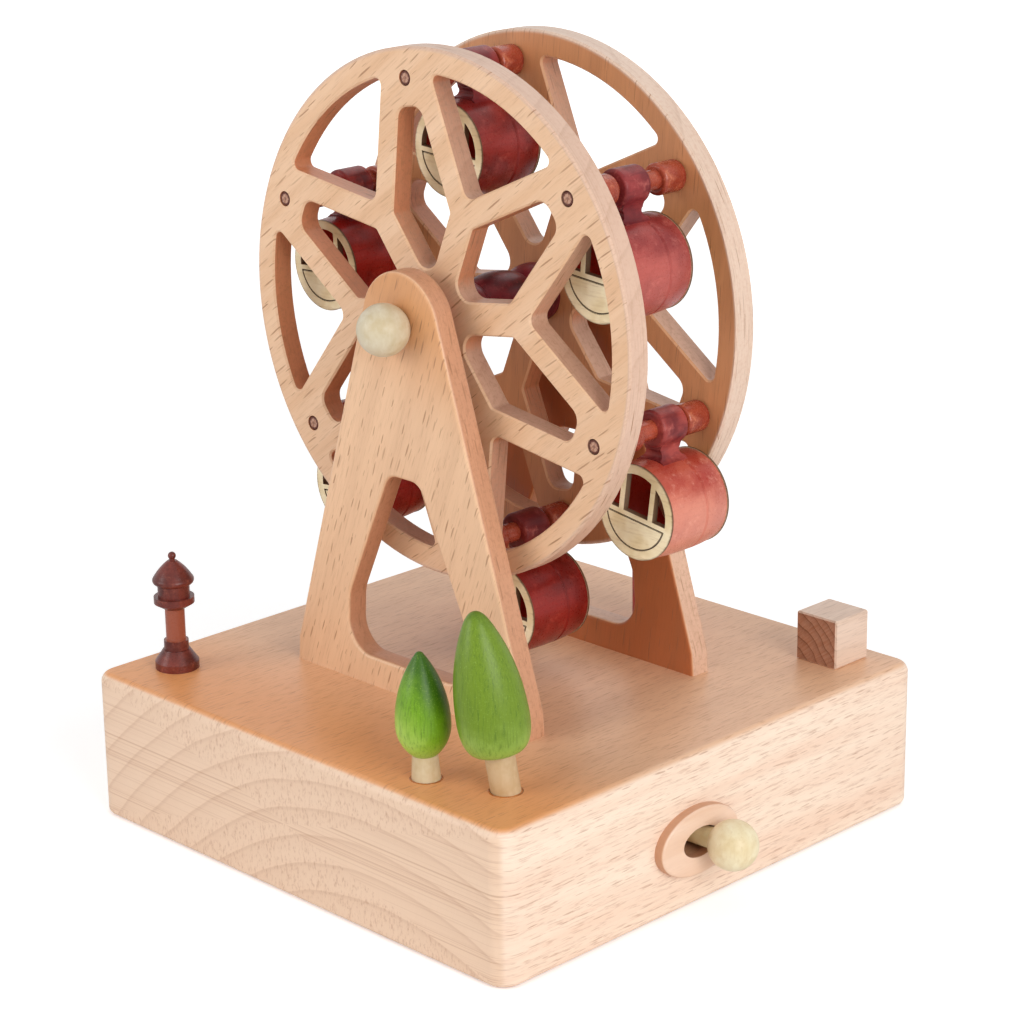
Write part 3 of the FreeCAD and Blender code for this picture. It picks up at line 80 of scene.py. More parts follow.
# ------------------------------ shader recipes
class Nodes:
    """A node tree that grows by short calls, each of which adds a node and returns its output."""

    def __init__(self, tree: bpy.types.NodeTree) -> None:
        """Takes the tree that the nodes go into."""
        self.tree = tree

    def node(self, kind: str, inputs: dict[int | str, object], output: int | str = 0, **settings: object) -> Socket:
        """Adds a node.

        Args:
            kind: The node's type name, after "ShaderNode".
            inputs: What each input takes, a socket to join or a plain value.
            output: The output that the caller wants.
            **settings: Properties of the node.

        Returns:
            The chosen output.
        """
        made = self.tree.nodes.new(f"ShaderNode{kind}")
        for key, value in settings.items():
            setattr(made, key, value)
        for key, value in inputs.items():
            if isinstance(value, Socket):
                self.tree.links.new(value, made.inputs[key])
            else:
                made.inputs[key].default_value = value
        return made.outputs[output]

    def calc(self, operation: str, first: Value, second: Value = 0.0, third: Value = 0.0) -> Socket:
        """The result of a Math node."""
        return self.node("Math", {0: first, 1: second, 2: third}, operation=operation)


class Recipe(Nodes):
    """One material, with its places in millimetres."""

    def __init__(self, name: str) -> None:
        """Starts the material.

        Args:
            name: The material's name.
        """
        self.material = bpy.data.materials.new(name)
        self.material.use_nodes = True
        super().__init__(self.material.node_tree)
        self.shader = self.tree.nodes["Principled BSDF"]
        where = self.tree.nodes.new("ShaderNodeTexCoord")
        self.facing: Socket = where.outputs["Normal"]
        self.place: Socket = self.scaled(where.outputs["Object"], (PER_METRE, PER_METRE, PER_METRE))

    def about(self, centre: Triple) -> Socket:
        """Places counted from a centre."""
        back = tuple(-part for part in centre)
        return self.node("VectorMath", {0: self.place, 1: back}, operation="ADD")

    def off_axis(self, centre: Triple) -> Socket:
        """How far a place lies from the line along Y through a centre."""
        return self.length(self.scaled(self.about(centre), (1.0, 0.0, 1.0)))

    def scaled(self, vector: Socket, factors: Triple) -> Socket:
        """A vector multiplied axis by axis."""
        return self.node("VectorMath", {0: vector, 1: factors}, operation="MULTIPLY")

    def dot(self, vector: Socket, way: Triple) -> Socket:
        """How far a vector reaches along a way."""
        return self.node("VectorMath", {0: vector, 1: way}, "Value", operation="DOT_PRODUCT")

    def length(self, vector: Socket) -> Socket:
        """A vector's length."""
        return self.node("VectorMath", {0: vector}, "Value", operation="LENGTH")

    def join(self, x: Value, y: Value, z: Value = 0.0) -> Socket:
        """A vector made from three values."""
        return self.node("CombineXYZ", {0: x, 1: y, 2: z})

    def noise(self, vector: Socket, scale: float = 1.0, detail: float = 2.0, rough: float = 0.5) -> Socket:
        """Soft random values about one half."""
        return self.node("TexNoise", {"Vector": vector, "Scale": scale, "Detail": detail, "Roughness": rough})

    def streaks(self, ways: tuple[Socket, ...], scales: tuple[float, ...], detail: float = 2.0,
                rough: float = 0.5) -> Socket:
        """Noise that is stretched by a scale of its own along each way."""
        stretched = self.join(*(self.calc("MULTIPLY", way, scale) for way, scale in zip(ways, scales)))
        return self.noise(stretched, 1.0, detail, rough)

    def step(self, value: Value, low: float, high: float, start: float = 0.0, end: float = 1.0) -> Socket:
        """A smooth step from start, where the value is low or less, to end, where it is high or more."""
        inputs = {"Value": value, "From Min": low, "From Max": high, "To Min": start, "To Max": end}
        return self.node("MapRange", inputs, interpolation_type="SMOOTHSTEP")

    def blend(self, share: Value, first: Socket | Colour, second: Socket | Colour) -> Socket:
        """Mixes two colours.

        Args:
            share: How much of the second.
            first: First colour.
            second: Second colour.

        Returns:
            The mixed colour.
        """
        made = self.tree.nodes.new("ShaderNodeMix")
        made.data_type = "RGBA"
        for socket, value in ((made.inputs["Factor"], share), (made.inputs[6], first), (made.inputs[7], second)):
            if isinstance(value, Socket):
                self.tree.links.new(value, socket)
            else:
                socket.default_value = (*value, 1.0) if isinstance(value, tuple) else value
        return made.outputs[2]

    def tint(self, colour: Socket | Colour, tone: Socket | Colour, value: Value, low: float, high: float,
             share: float = 1.0) -> Socket:
        """Lays a tone over a colour where a value rises from low to high, up to a share of it."""
        return self.blend(self.step(value, low, high, 0.0, share), colour, tone)

    def finish(self, colour: Socket, rough: Socket, height: Socket, relief: float, **plain: float) -> Material:
        """Joins the shader.

        Args:
            colour: Base colour.
            rough: Roughness.
            height: Relief, 0 to 1.
            relief: Depth of that relief in millimetres.
            **plain: Other shader inputs that are one value all over, with _ for a blank.

        Returns:
            The finished material.
        """
        bump = self.node("Bump", {"Height": height, "Distance": relief * MM, "Strength": 1.0})
        for key, socket in (("Base Color", colour), ("Roughness", rough), ("Normal", bump)):
            self.tree.links.new(socket, self.shader.inputs[key])
        for key, value in plain.items():
            self.shader.inputs[key.replace("_", " ")].default_value = value
        return self.material


# ------------------------------ finishes
class Grain(Enum):
    """Which way the fibres of a piece run, as a unit vector."""

    BASE = Y_WAY
    FRONT_WHEEL = (0.799, 0.0, 0.602)
    REAR_WHEEL = (0.087, 0.0, 0.996)
    SUPPORT = (0.342, 0.0, 0.94)
    REAR_SUPPORT = (0.139, 0.0, 0.99)
    UPRIGHT = Z_WAY
    ACROSS = X_WAY


@dataclass(frozen=True)
class Beech:
    """Steamed beech, sanded and finished with oil: growth rings, short dark flecks and fine fibres all through the
    block.
    """

    name: str
    grain: Grain
    depth: Triple
    heart: Pair
    pale: Colour = rgb(240, 205, 165)
    warm: Colour = rgb(226, 184, 142)
    end: Colour = rgb(222, 180, 142)
    face: Colour | None = None
    # The inner tone is painted shade on the faces turned against depth, where the board stands in the front parts'
    # shade.
    inner: Colour | None = None
    fleck: Colour = rgb(150, 98, 62)
    ring_gap: float = 6.5
    ring_shade: float = 0.1
    end_shade: float = 0.16
    wave: Pair = (0.07, 7.0)
    fleck_share: float = 0.62
    fleck_length: float = 1.9
    fleck_width: float = 0.17
    fleck_cell: Pair = (5.2, 2.3)
    fibre_share: float = 0.24
    fibre_fine: float = 3.4
    # The wall tone is the sawn walls' own darker grain, deepened as painted shade; the lit wall tone is painted light
    # on walls that face up and lie towards +X.
    wall: Colour | None = None
    wall_painted_light: Colour = rgb(214, 172, 148)
    rim: Colour | None = None
    hub: Triple = (-1.0, 0.0, 103.5)
    rim_from: float = 49.3
    # This tone is painted on the board faces and fades out along the grain over the span below: on the base's top a
    # painted reflection of the front board's warm wood, on the front board painted shade round the axle ball.
    painted_shade_and_reflection: Colour | None = None
    painted_tone_span: Pair = (0.0, 0.0)
    gloss: float = 0.42
    coat: float = 0.12

    def material(self) -> Material:
        """Builds the wood as a solid, so its pattern runs on round every edge.

        Returns:
            The finished material.
        """
        mix = Recipe(self.name)
        along, deep = Vector(self.grain.value), Vector(self.depth)
        side = deep.cross(along)
        u, v, w = (mix.dot(mix.place, tuple(way)) for way in (along, side, deep))
        facing_end, facing_side, facing_deep = (
            mix.calc("ABSOLUTE", mix.dot(mix.facing, tuple(way))) for way in (along, side, deep)
        )
        on_side = mix.calc("GREATER_THAN", facing_side, facing_deep)
        across = mix.calc("ADD", mix.calc("MULTIPLY", on_side, mix.calc("SUBTRACT", w, v)), v)
        ripple, reach = self.wave
        wave = mix.streaks((u, v, w), (0.016, ripple, ripple), 3.0)
        from_heart = [mix.calc("SUBTRACT", place, middle) for place, middle in zip((v, w), self.heart)]
        out = mix.calc("MULTIPLY_ADD", mix.calc("SUBTRACT", wave, 0.5), reach, mix.length(mix.join(*from_heart)))
        turn = mix.calc("FRACT", mix.calc("DIVIDE", out, self.ring_gap))
        ring = mix.calc("MULTIPLY_ADD", mix.step(turn, 0.8, 0.93), 0.6, mix.step(turn, 0.2, 0.95, 0.0, 0.4))
        ring = mix.calc("MULTIPLY", ring, mix.step(turn, 0.95, 1.0, 1.0, 0.0))
        streak = mix.streaks((u, across, w), (0.012, 0.22, 0.05), 4.0, 0.6)
        fibre = mix.streaks((u, across, w), (0.22, self.fibre_fine, 0.9), 3.0, 0.65)
        flecks = self.flecks(mix, u, across)
        on_end = mix.step(facing_end, 0.62, 0.86)
        flecks = mix.calc("MULTIPLY", flecks, mix.calc("SUBTRACT", 1.0, on_end))
        colour = mix.tint(self.pale, self.warm, streak, 0.32, 0.7)
        if self.face is not None:
            board = mix.tint(self.face, self.fleck, streak, 0.3, 0.72, 0.14)
            # Painted reflection and painted shade laid on the board faces, fading out along the grain.
            if self.painted_shade_and_reflection is not None:
                board = mix.blend(mix.step(u, *self.painted_tone_span, 1.0, 0.0), board, self.painted_shade_and_reflection)
            colour = mix.tint(colour, board, facing_deep, 0.55, 0.95)
        # Painted shade: faces turned against depth take the inner tone.
        if self.inner is not None:
            inside = mix.step(mix.dot(mix.facing, self.depth), -0.9, -0.5, 1.0, 0.0)
            colour = mix.blend(inside, colour, mix.tint(self.inner, self.fleck, streak, 0.3, 0.72, 0.3))
        rays = mix.streaks((mix.calc("ARCTAN2", *from_heart), out), (190.0, 0.22), 3.0)
        colour = mix.blend(on_end, colour, mix.blend(mix.calc("MULTIPLY", rays, 0.5), self.end, self.warm))
        if self.wall is not None:
            colour = self.edges(mix, colour, facing_deep)
        shade = mix.calc("MULTIPLY", ring, mix.calc("MULTIPLY_ADD", on_end, self.end_shade - self.ring_shade,
                                                    self.ring_shade))
        colour = mix.blend(shade, colour, self.fleck)
        colour = mix.tint(colour, self.fleck, fibre, 0.48, 0.76, self.fibre_share)
        colour = mix.blend(mix.calc("MULTIPLY", flecks, self.fleck_share), colour, self.fleck)
        rough = mix.step(fibre, 0.2, 0.8, self.gloss - 0.05, self.gloss + 0.09)
        height = mix.calc("SUBTRACT", mix.calc("MULTIPLY", fibre, 0.35), mix.calc("MULTIPLY", flecks, 0.4))
        return mix.finish(colour, rough, height, 0.05, Specular_IOR_Level=0.42, Coat_Weight=self.coat,
                          Coat_Roughness=0.28)

    def edges(self, mix: Recipe, colour: Socket, facing_deep: Socket) -> Socket:
        """Tones the sawn walls of a board: deeper as painted shade where they turn down, lighter as painted light
        where they face up and lie towards +X, and mottled.

        Args:
            mix: The recipe to add to.
            colour: The board's colour.
            facing_deep: How far the surface faces through the board.

        Returns:
            The toned colour.
        """
        mottle = mix.noise(mix.place, 1.3, 4.0, 0.7)
        # Painted light: walls that face up and lie further towards +X turn to the lit wall tone, and the others keep
        # the darker wall tone as painted shade.
        painted_light = mix.calc("MULTIPLY_ADD", mix.dot(mix.facing, Z_WAY), 26.0, mix.dot(mix.place, X_WAY))
        wall = mix.tint(self.wall, self.wall_painted_light, mix.calc("MULTIPLY_ADD", mottle, 20.0, painted_light), 4.0, 32.0)
        wall = mix.tint(wall, self.fleck, mottle, 0.46, 0.7, 0.32)
        colour = mix.blend(mix.step(facing_deep, 0.3, 0.7, 0.95, 0.0), colour, wall)
        if self.rim is None:
            return colour
        # The rim is mottled with the walls' painted-light tone.
        rim = mix.tint(self.rim, self.wall_painted_light, mottle, 0.44, 0.68, 0.35)
        return mix.tint(colour, rim, mix.off_axis(self.hub), self.rim_from, self.rim_from + 0.7, 0.9)

    def flecks(self, mix: Recipe, u: Socket, across: Socket) -> Socket:
        """The short dark dashes that run along the fibres.

        Args:
            mix: The recipe to add to.
            u: Distance along the fibres.
            across: Distance across them, in the face that is looked at.

        Returns:
            1 in a dash and 0 elsewhere.
        """
        long, wide = self.fleck_cell
        bend = mix.streaks((u, across), (0.05, 0.1))
        across = mix.calc("MULTIPLY_ADD", bend, 2.0, across)
        spot = mix.join(mix.calc("DIVIDE", u, long), mix.calc("DIVIDE", across, wide))
        middle = mix.node("TexVoronoi", {"Vector": spot, "Scale": 1.0}, "Position", voronoi_dimensions="2D")
        chance = middle.node.outputs["Color"]
        gap = mix.node("VectorMath", {0: spot, 1: middle}, operation="SUBTRACT")
        far = mix.length(mix.scaled(gap, (long / self.fleck_length, wide / self.fleck_width, 0.0)))
        size = mix.step(mix.dot(chance, X_WAY), 0.1, 1.0, 0.45, 1.25)
        dash = mix.step(mix.calc("DIVIDE", far, size), 0.55, 1.05, 1.0, 0.0)
        strength = mix.step(mix.dot(chance, Y_WAY), 0.0, 0.9, 0.35, 1.0)
        return mix.calc("MULTIPLY", dash, strength)


@dataclass(frozen=True)
class TurnedStain:
    """Turned hardwood with a red stain under wax, blotchy and finely speckled, with marks left by the lathe."""

    name: str
    centre: Triple
    axis: Triple = Y_WAY
    dark: Colour = rgb(92, 24, 24)
    mid: Colour = rgb(142, 46, 42)
    light: Colour = rgb(188, 92, 72)
    light_share: float = 0.5
    # Painted light: the stain turns lighter along this way, by this share.
    painted_light_way: Triple = (0.5, 0.0, -0.87)
    painted_light_share: float = 0.0
    bore: float = 0.0
    inner: Colour = rgb(206, 52, 32)
    inner_until: float = 100.0
    gloss: float = 0.3
    coat: float = 0.2
    mark_gap: float = 0.32

    def material(self) -> Material:
        """Builds the stain round the piece's own axis.

        Returns:
            The finished material.
        """
        mix = Recipe(self.name)
        place = mix.about(self.centre)
        height = mix.dot(place, self.axis)
        blotch = mix.noise(place, 0.16, 3.0, 0.6)
        speck = mix.noise(place, 2.6, 4.0, 0.7)
        thread = mix.noise(mix.scaled(place, (2.2, 0.35, 2.2)), 1.0, 3.0, 0.6)
        worn = mix.step(mix.noise(place, 0.45, 5.0, 0.75), 0.52, 0.74)
        colour = mix.tint(self.dark, self.mid, blotch, 0.3, 0.7)
        colour = mix.tint(colour, self.dark, thread, 0.45, 0.75, 0.45)
        colour = mix.blend(mix.calc("MULTIPLY", worn, self.light_share), colour, self.light)
        # Painted light on the side that this way points to.
        painted_light = mix.calc("MULTIPLY_ADD", blotch, 5.0, mix.dot(place, self.painted_light_way))
        colour = mix.tint(colour, self.light, painted_light, 0.0, 8.0, self.painted_light_share)
        colour = mix.tint(colour, self.light, speck, 0.6, 0.78, 0.35)
        if self.bore:
            across = mix.length(mix.node("VectorMath", {0: place, 1: self.axis}, operation="CROSS_PRODUCT"))
            inside = mix.step(across, self.bore, self.bore + 0.3, 1.0, 0.0)
            inside = mix.calc("MULTIPLY", inside, mix.step(height, self.inner_until, self.inner_until + 1.0, 1.0, 0.0))
            colour = mix.blend(inside, colour, self.inner)
        mark = mix.calc("SINE", mix.calc("DIVIDE", height, self.mark_gap / math.tau))
        relief = mix.calc("MULTIPLY_ADD", mark, 0.14, mix.calc("MULTIPLY", speck, 0.5))
        rough = mix.step(speck, 0.3, 0.75, self.gloss - 0.06, self.gloss + 0.16)
        return mix.finish(colour, rough, relief, 0.035, Specular_IOR_Level=0.25, Coat_Weight=self.coat,
                          Coat_Roughness=0.2)


@dataclass(frozen=True)
class PaleWood:
    """Close-grained pale wood under thin wax, for balls, trunks, stems and dowels."""

    name: str
    centre: Triple
    grain: Grain = Grain.UPRIGHT
    pale: Colour = rgb(240, 228, 194)
    warm: Colour = rgb(224, 203, 158)
    fibre: Colour = rgb(186, 152, 104)
    ring_gap: float = 2.6
    gloss: float = 0.36

    def material(self) -> Material:
        """Builds the wood about the piece's own middle.

        Returns:
            The finished material.
        """
        mix = Recipe(self.name)
        place = mix.about(self.centre)
        along = Vector(self.grain.value)
        side = along.orthogonal().normalized()
        deep = along.cross(side)
        u, v, w = (mix.dot(place, tuple(way)) for way in (along, side, deep))
        wave = mix.streaks((u, v, w), (0.05, 0.12, 1.0))
        out = mix.length(mix.join(mix.calc("ADD", v, 14.0), mix.calc("ADD", w, 9.0)))
        turn = mix.calc("FRACT", mix.calc("DIVIDE", mix.calc("MULTIPLY_ADD", wave, 1.6, out), self.ring_gap))
        ring = mix.calc("MULTIPLY", mix.step(turn, 0.2, 0.9), mix.step(turn, 0.9, 1.0, 1.0, 0.0))
        fibre = mix.streaks((u, v, w), (0.3, 3.0, 3.0), 3.0, 0.65)
        cloud = mix.noise(place, 0.22, 3.0, 0.6)
        colour = mix.tint(self.pale, self.warm, cloud, 0.35, 0.68)
        colour = mix.blend(mix.calc("MULTIPLY", ring, 0.3), colour, self.warm)
        colour = mix.tint(colour, self.fibre, fibre, 0.5, 0.8, 0.22)
        rough = mix.step(fibre, 0.2, 0.8, self.gloss - 0.04, self.gloss + 0.1)
        return mix.finish(colour, rough, fibre, 0.03, Specular_IOR_Level=0.45, Coat_Weight=0.15, Coat_Roughness=0.25)


@dataclass(frozen=True)
class LeafStain:
    """Green stain brushed on a turned crown: deep at the tip, thin towards the foot, and deeper as painted shade on
    the shaded side.
    """

    name: str
    centre: Triple
    height: float
    thin: Colour = rgb(162, 180, 68)
    full: Colour = rgb(108, 136, 26)
    deep: Colour = rgb(56, 90, 12)
    shaded_way: Triple = Z_WAY
    deep_from: float = 0.55

    def material(self) -> Material:
        """Builds the stain up the crown.

        Returns:
            The finished material.
        """
        mix = Recipe(self.name)
        place = mix.about(self.centre)
        cloud = mix.noise(place, 0.2, 4.0, 0.6)
        brush = mix.noise(mix.scaled(place, (3.0, 3.0, 0.25)), 1.0, 4.0, 0.65)
        speck = mix.noise(place, 3.4, 3.0, 0.7)
        # Painted shade: the green deepens along the shaded way.
        up = mix.calc("DIVIDE", mix.dot(place, self.shaded_way), self.height)
        up = mix.calc("MULTIPLY_ADD", mix.calc("SUBTRACT", cloud, 0.5), 0.35, up)
        colour = mix.tint(self.thin, self.full, up, -0.05, 0.3)
        colour = mix.tint(colour, self.deep, up, self.deep_from, self.deep_from + 0.35, 0.85)
        colour = mix.tint(colour, self.deep, brush, 0.46, 0.74, 0.5)
        colour = mix.tint(colour, self.thin, speck, 0.54, 0.76, 0.45)
        rough = mix.step(speck, 0.3, 0.7, 0.3, 0.46)
        return mix.finish(colour, rough, brush, 0.04, Specular_IOR_Level=0.3, Coat_Weight=0.08, Coat_Roughness=0.25)


@dataclass(frozen=True)
class LaserBoard:
    """Thin pale board cut by laser: fine grain on its faces and a charred brown edge."""

    name: str
    centre: Triple
    reach: float = 9.05
    pale: Colour = rgb(247, 233, 198)
    warm: Colour = rgb(228, 207, 162)
    fibre: Colour = rgb(176, 140, 88)
    char: Colour = rgb(96, 58, 34)

    def material(self) -> Material:
        """Builds the board, charred where its surface turns away from Y.

        Returns:
            The finished material.
        """
        mix = Recipe(self.name)
        place = mix.about(self.centre)
        fibre = mix.noise(mix.scaled(place, (0.2, 2.0, 2.4)), 1.0, 4.0, 0.65)
        cloud = mix.noise(place, 0.15, 3.0, 0.6)
        colour = mix.tint(self.pale, self.warm, cloud, 0.35, 0.68)
        colour = mix.tint(colour, self.fibre, fibre, 0.5, 0.8, 0.4)
        scorch = mix.calc("MULTIPLY_ADD", fibre, 0.5, mix.off_axis(self.centre))
        colour = mix.tint(colour, self.char, scorch, self.reach - 0.1, self.reach + 0.35, 0.75)
        edge = mix.step(mix.calc("ABSOLUTE", mix.dot(mix.facing, Y_WAY)), 0.35, 0.75, 0.88, 0.0)
        colour = mix.blend(edge, colour, self.char)
        rough = mix.step(fibre, 0.2, 0.8, 0.46, 0.6)
        return mix.finish(colour, rough, fibre, 0.03, Specular_IOR_Level=0.35)


@dataclass(frozen=True)
class Metal:
    """Machined metal with fine scratches and a little tarnish."""

    name: str
    bright: Colour
    dull: Colour
    gloss: float = 0.3
    scratch: Triple = (0.4, 6.0, 6.0)

    def material(self) -> Material:
        """Builds the metal.

        Returns:
            The finished material.
        """
        mix = Recipe(self.name)
        scratch = mix.noise(mix.scaled(mix.place, self.scratch), 1.0, 4.0, 0.7)
        tarnish = mix.noise(mix.place, 0.3, 4.0, 0.6)
        colour = mix.tint(self.bright, self.dull, tarnish, 0.4, 0.72)
        colour = mix.tint(colour, self.dull, scratch, 0.55, 0.8, 0.35)
        rough = mix.step(scratch, 0.2, 0.8, self.gloss - 0.08, self.gloss + 0.16)
        return mix.finish(colour, rough, scratch, 0.015, Metallic=1.0)


@dataclass(frozen=True)
class Plain:
    """A thin coat of one hue over fine wood grain, for paint, char and glue."""

    name: str
    colour: Colour
    shade: Colour
    gloss: float = 0.4
    relief: float = 0.03

    def material(self) -> Material:
        """Builds the coat.

        Returns:
            The finished material.
        """
        mix = Recipe(self.name)
        grain = mix.noise(mix.scaled(mix.place, (2.4, 2.4, 0.4)), 1.0, 4.0, 0.65)
        cloud = mix.noise(mix.place, 0.5, 3.0, 0.6)
        colour = mix.tint(self.colour, self.shade, cloud, 0.35, 0.7)
        colour = mix.tint(colour, self.shade, grain, 0.5, 0.8, 0.3)
        rough = mix.step(grain, 0.2, 0.8, self.gloss - 0.05, self.gloss + 0.12)
        return mix.finish(colour, rough, grain, self.relief, Specular_IOR_Level=0.45)


@dataclass(frozen=True)
class PinEnd:
    """End grain of a peg, dark round its rim and at its middle where the lathe held it."""

    name: str
    centre: Triple
    pale: Colour = rgb(190, 148, 126)
    warm: Colour = rgb(150, 98, 72)
    dark: Colour = rgb(92, 46, 34)

    def material(self) -> Material:
        """Builds rings about the peg's middle.

        Returns:
            The finished material.
        """
        mix = Recipe(self.name)
        grain = mix.noise(mix.about(self.centre), 3.0, 3.0, 0.7)
        wobble = mix.calc("MULTIPLY_ADD", grain, 0.5, mix.off_axis(self.centre))
        colour = mix.tint(self.pale, self.warm, grain, 0.4, 0.7)
        colour = mix.tint(colour, self.dark, wobble, 1.02, 1.3)
        colour = mix.blend(mix.step(wobble, 0.42, 0.62, 0.5, 0.0), colour, self.dark)
        rough = mix.step(grain, 0.3, 0.7, 0.4, 0.6)
        return mix.finish(colour, rough, grain, 0.05, Specular_IOR_Level=0.35)


Finish = Beech | TurnedStain | PaleWood | LeafStain | LaserBoard | Metal | Plain | PinEnd


def shade_smooth(piece: bpy.types.Object) -> None:
    """Shades a piece smoothly between its sharp edges."""
    piece.data.polygons.foreach_set("use_smooth", [True] * len(piece.data.polygons))
    piece.modifiers.new("edges", "EDGE_SPLIT").split_angle = SMOOTH_ANGLE


def dress(node: str, finish: Finish) -> None:
    """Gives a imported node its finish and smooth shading.

    Args:
        node: The node's name.
        finish: What it is finished with.
    """
    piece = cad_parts[node]
    material = finish.material()
    if not piece.data.materials:
        piece.data.materials.append(material)
    for slot in piece.material_slots:
        slot.material = material
    piece.modifiers.new("weld", "WELD").merge_threshold = WELD_GAP
    shade_smooth(piece)
    log.info("%s: %s", node, finish.name)


def add_object(name: str, data: bpy.types.ID) -> bpy.types.Object:
    """Puts new data into the scene as an object.

    Args:
        name: The object's name.
        data: Its mesh, light or camera.

    Returns:
        The object.
    """
    made = bpy.data.objects.new(name, data)
    bpy.context.scene.collection.objects.link(made)
    return made


def add_shape(name: str, shape: Shape, material: Material) -> bpy.types.Object:
    """Turns a bmesh into an object with one material.

    Args:
        name: The object's name.
        shape: The mesh, which is used up.
        material: Its material.

    Returns:
        The object.
    """
    mesh = bpy.data.meshes.new(name)
    shape.to_mesh(mesh)
    shape.free()
    mesh.materials.append(material)
    return add_object(name, mesh)


# ------------------------------ new small pieces
class Workbench:
    """Makes new pieces from bmesh operators and sets each on the body that it rides on."""

    @staticmethod
    def hand_over(shape: Shape, place: Matrix, name: str, body: str, slot: str,
                  finish: Finish) -> bpy.types.Object:
        """Turns a bmesh into a finished piece that rides on a body.

        Args:
            shape: The mesh, about an origin of its own.
            place: Where that origin goes, and how the mesh is turned.
            name: The piece's name.
            body: The body that it rides on.
            slot: The record's material slot; not used.
            finish: What it is finished with.

        Returns:
            The piece.
        """
        bmesh.ops.transform(shape, matrix=place, verts=shape.verts)
        bmesh.ops.remove_doubles(shape, verts=shape.verts, dist=SAME_POINT)
        bmesh.ops.recalc_face_normals(shape, faces=shape.faces)
        piece = add_shape(name, shape, finish.material())
        shade_smooth(piece)
        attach(piece, body)
        log.info("%s rides on %s", name, body)
        return piece

    @staticmethod
    def turned(outline: Iterable[Pair], steps: int) -> Shape:
        """Spins an outline of (radius, height) points about Z.

        Args:
            outline: The outline, in metres, from foot to top.
            steps: How many steps go round.

        Returns:
            The turned mesh.
        """
        shape = bmesh.new()
        points = [shape.verts.new((radius, 0.0, height)) for radius, height in outline]
        edges = [shape.edges.new(pair) for pair in zip(points, points[1:])]
        bmesh.ops.spin(shape, geom=points + edges, axis=(0, 0, 1), cent=(0, 0, 0), angle=math.tau, steps=steps,
                       use_merge=True, use_duplicate=False)
        bmesh.ops.remove_doubles(shape, verts=shape.verts, dist=SAME_POINT)
        return shape


@dataclass
class GondolaMark:
    """The burnt line on a gondola's end plate: the lower part of a ring under a straight sill."""

    ring: float = 7.22 * MM
    width: float = 0.19 * MM
    sill: float = -1.48 * MM
    sunk: float = 0.2 * MM
    deep: float = 0.05 * MM
    ring_steps: int = 128
    sill_steps: int = 12

    def shape(self) -> Shape:
        """Builds the line in the X-Z plane about the plate's middle.

        Returns:
            The line, a thin band.
        """
        shape = bmesh.new()
        bmesh.ops.create_circle(shape, cap_ends=False, segments=self.ring_steps, radius=self.ring)
        grown = bmesh.ops.extrude_edge_only(shape, edges=list(shape.edges))["geom"]
        inner = [part for part in grown if isinstance(part, bmesh.types.BMVert)]
        share = 1 - self.width / self.ring
        bmesh.ops.scale(shape, vec=(share, share, 1.0), verts=inner)
        bmesh.ops.bisect_plane(shape, geom=list(shape.verts) + list(shape.edges) + list(shape.faces),
                               plane_co=(0, self.sill, 0), plane_no=(0, 1, 0), clear_outer=True)
        rule = bmesh.ops.create_grid(shape, x_segments=self.sill_steps, y_segments=1, size=0.5)["verts"]
        half = math.sqrt(self.ring ** 2 - self.sill ** 2) - self.width / 2
        bmesh.ops.scale(shape, vec=(2 * half, self.width, 1.0), verts=rule)
        bmesh.ops.translate(shape, vec=(0, self.sill - self.width / 2, 0), verts=rule)
        thick = bmesh.ops.extrude_face_region(shape, geom=list(shape.faces))["geom"]
        raised = [part for part in thick if isinstance(part, bmesh.types.BMVert)]
        bmesh.ops.translate(shape, vec=(0, 0, self.deep), verts=raised)
        return shape


# ------------------------------ sub-assemblies
@dataclass
class Tower:
    """Places that the wheel, its rods and the gondolas share."""

    centre: Triple = (-1.0, 0.35, 103.5)
    rod_circle: float = 44.5
    first_angle: float = 97.8
    rods: int = 6
    drop: float = 14.9
    slides: tuple[float, ...] = (1.8, 0.9, -0.6, 1.7, 2.2, -1.25)
    plate_turns: tuple[float, ...] = (-4.0, 3.0, 5.0, -2.0, -8.0, -5.0)

    def rod(self, index: int) -> Triple:
        """Finds the middle of a rod.

        Args:
            index: Which rod, counted counterclockwise from 0 at the top.

        Returns:
            Its place in millimetres.
        """
        angle = math.radians(self.first_angle + 360 / self.rods * index)
        x, y, z = self.centre
        return x + self.rod_circle * math.cos(angle), y, z + self.rod_circle * math.sin(angle)

    def gondola(self, index: int) -> Triple:
        """The middle of a gondola's drum, in millimetres."""
        x, y, z = self.rod(index)
        return x, y + self.slides[index], z - self.drop


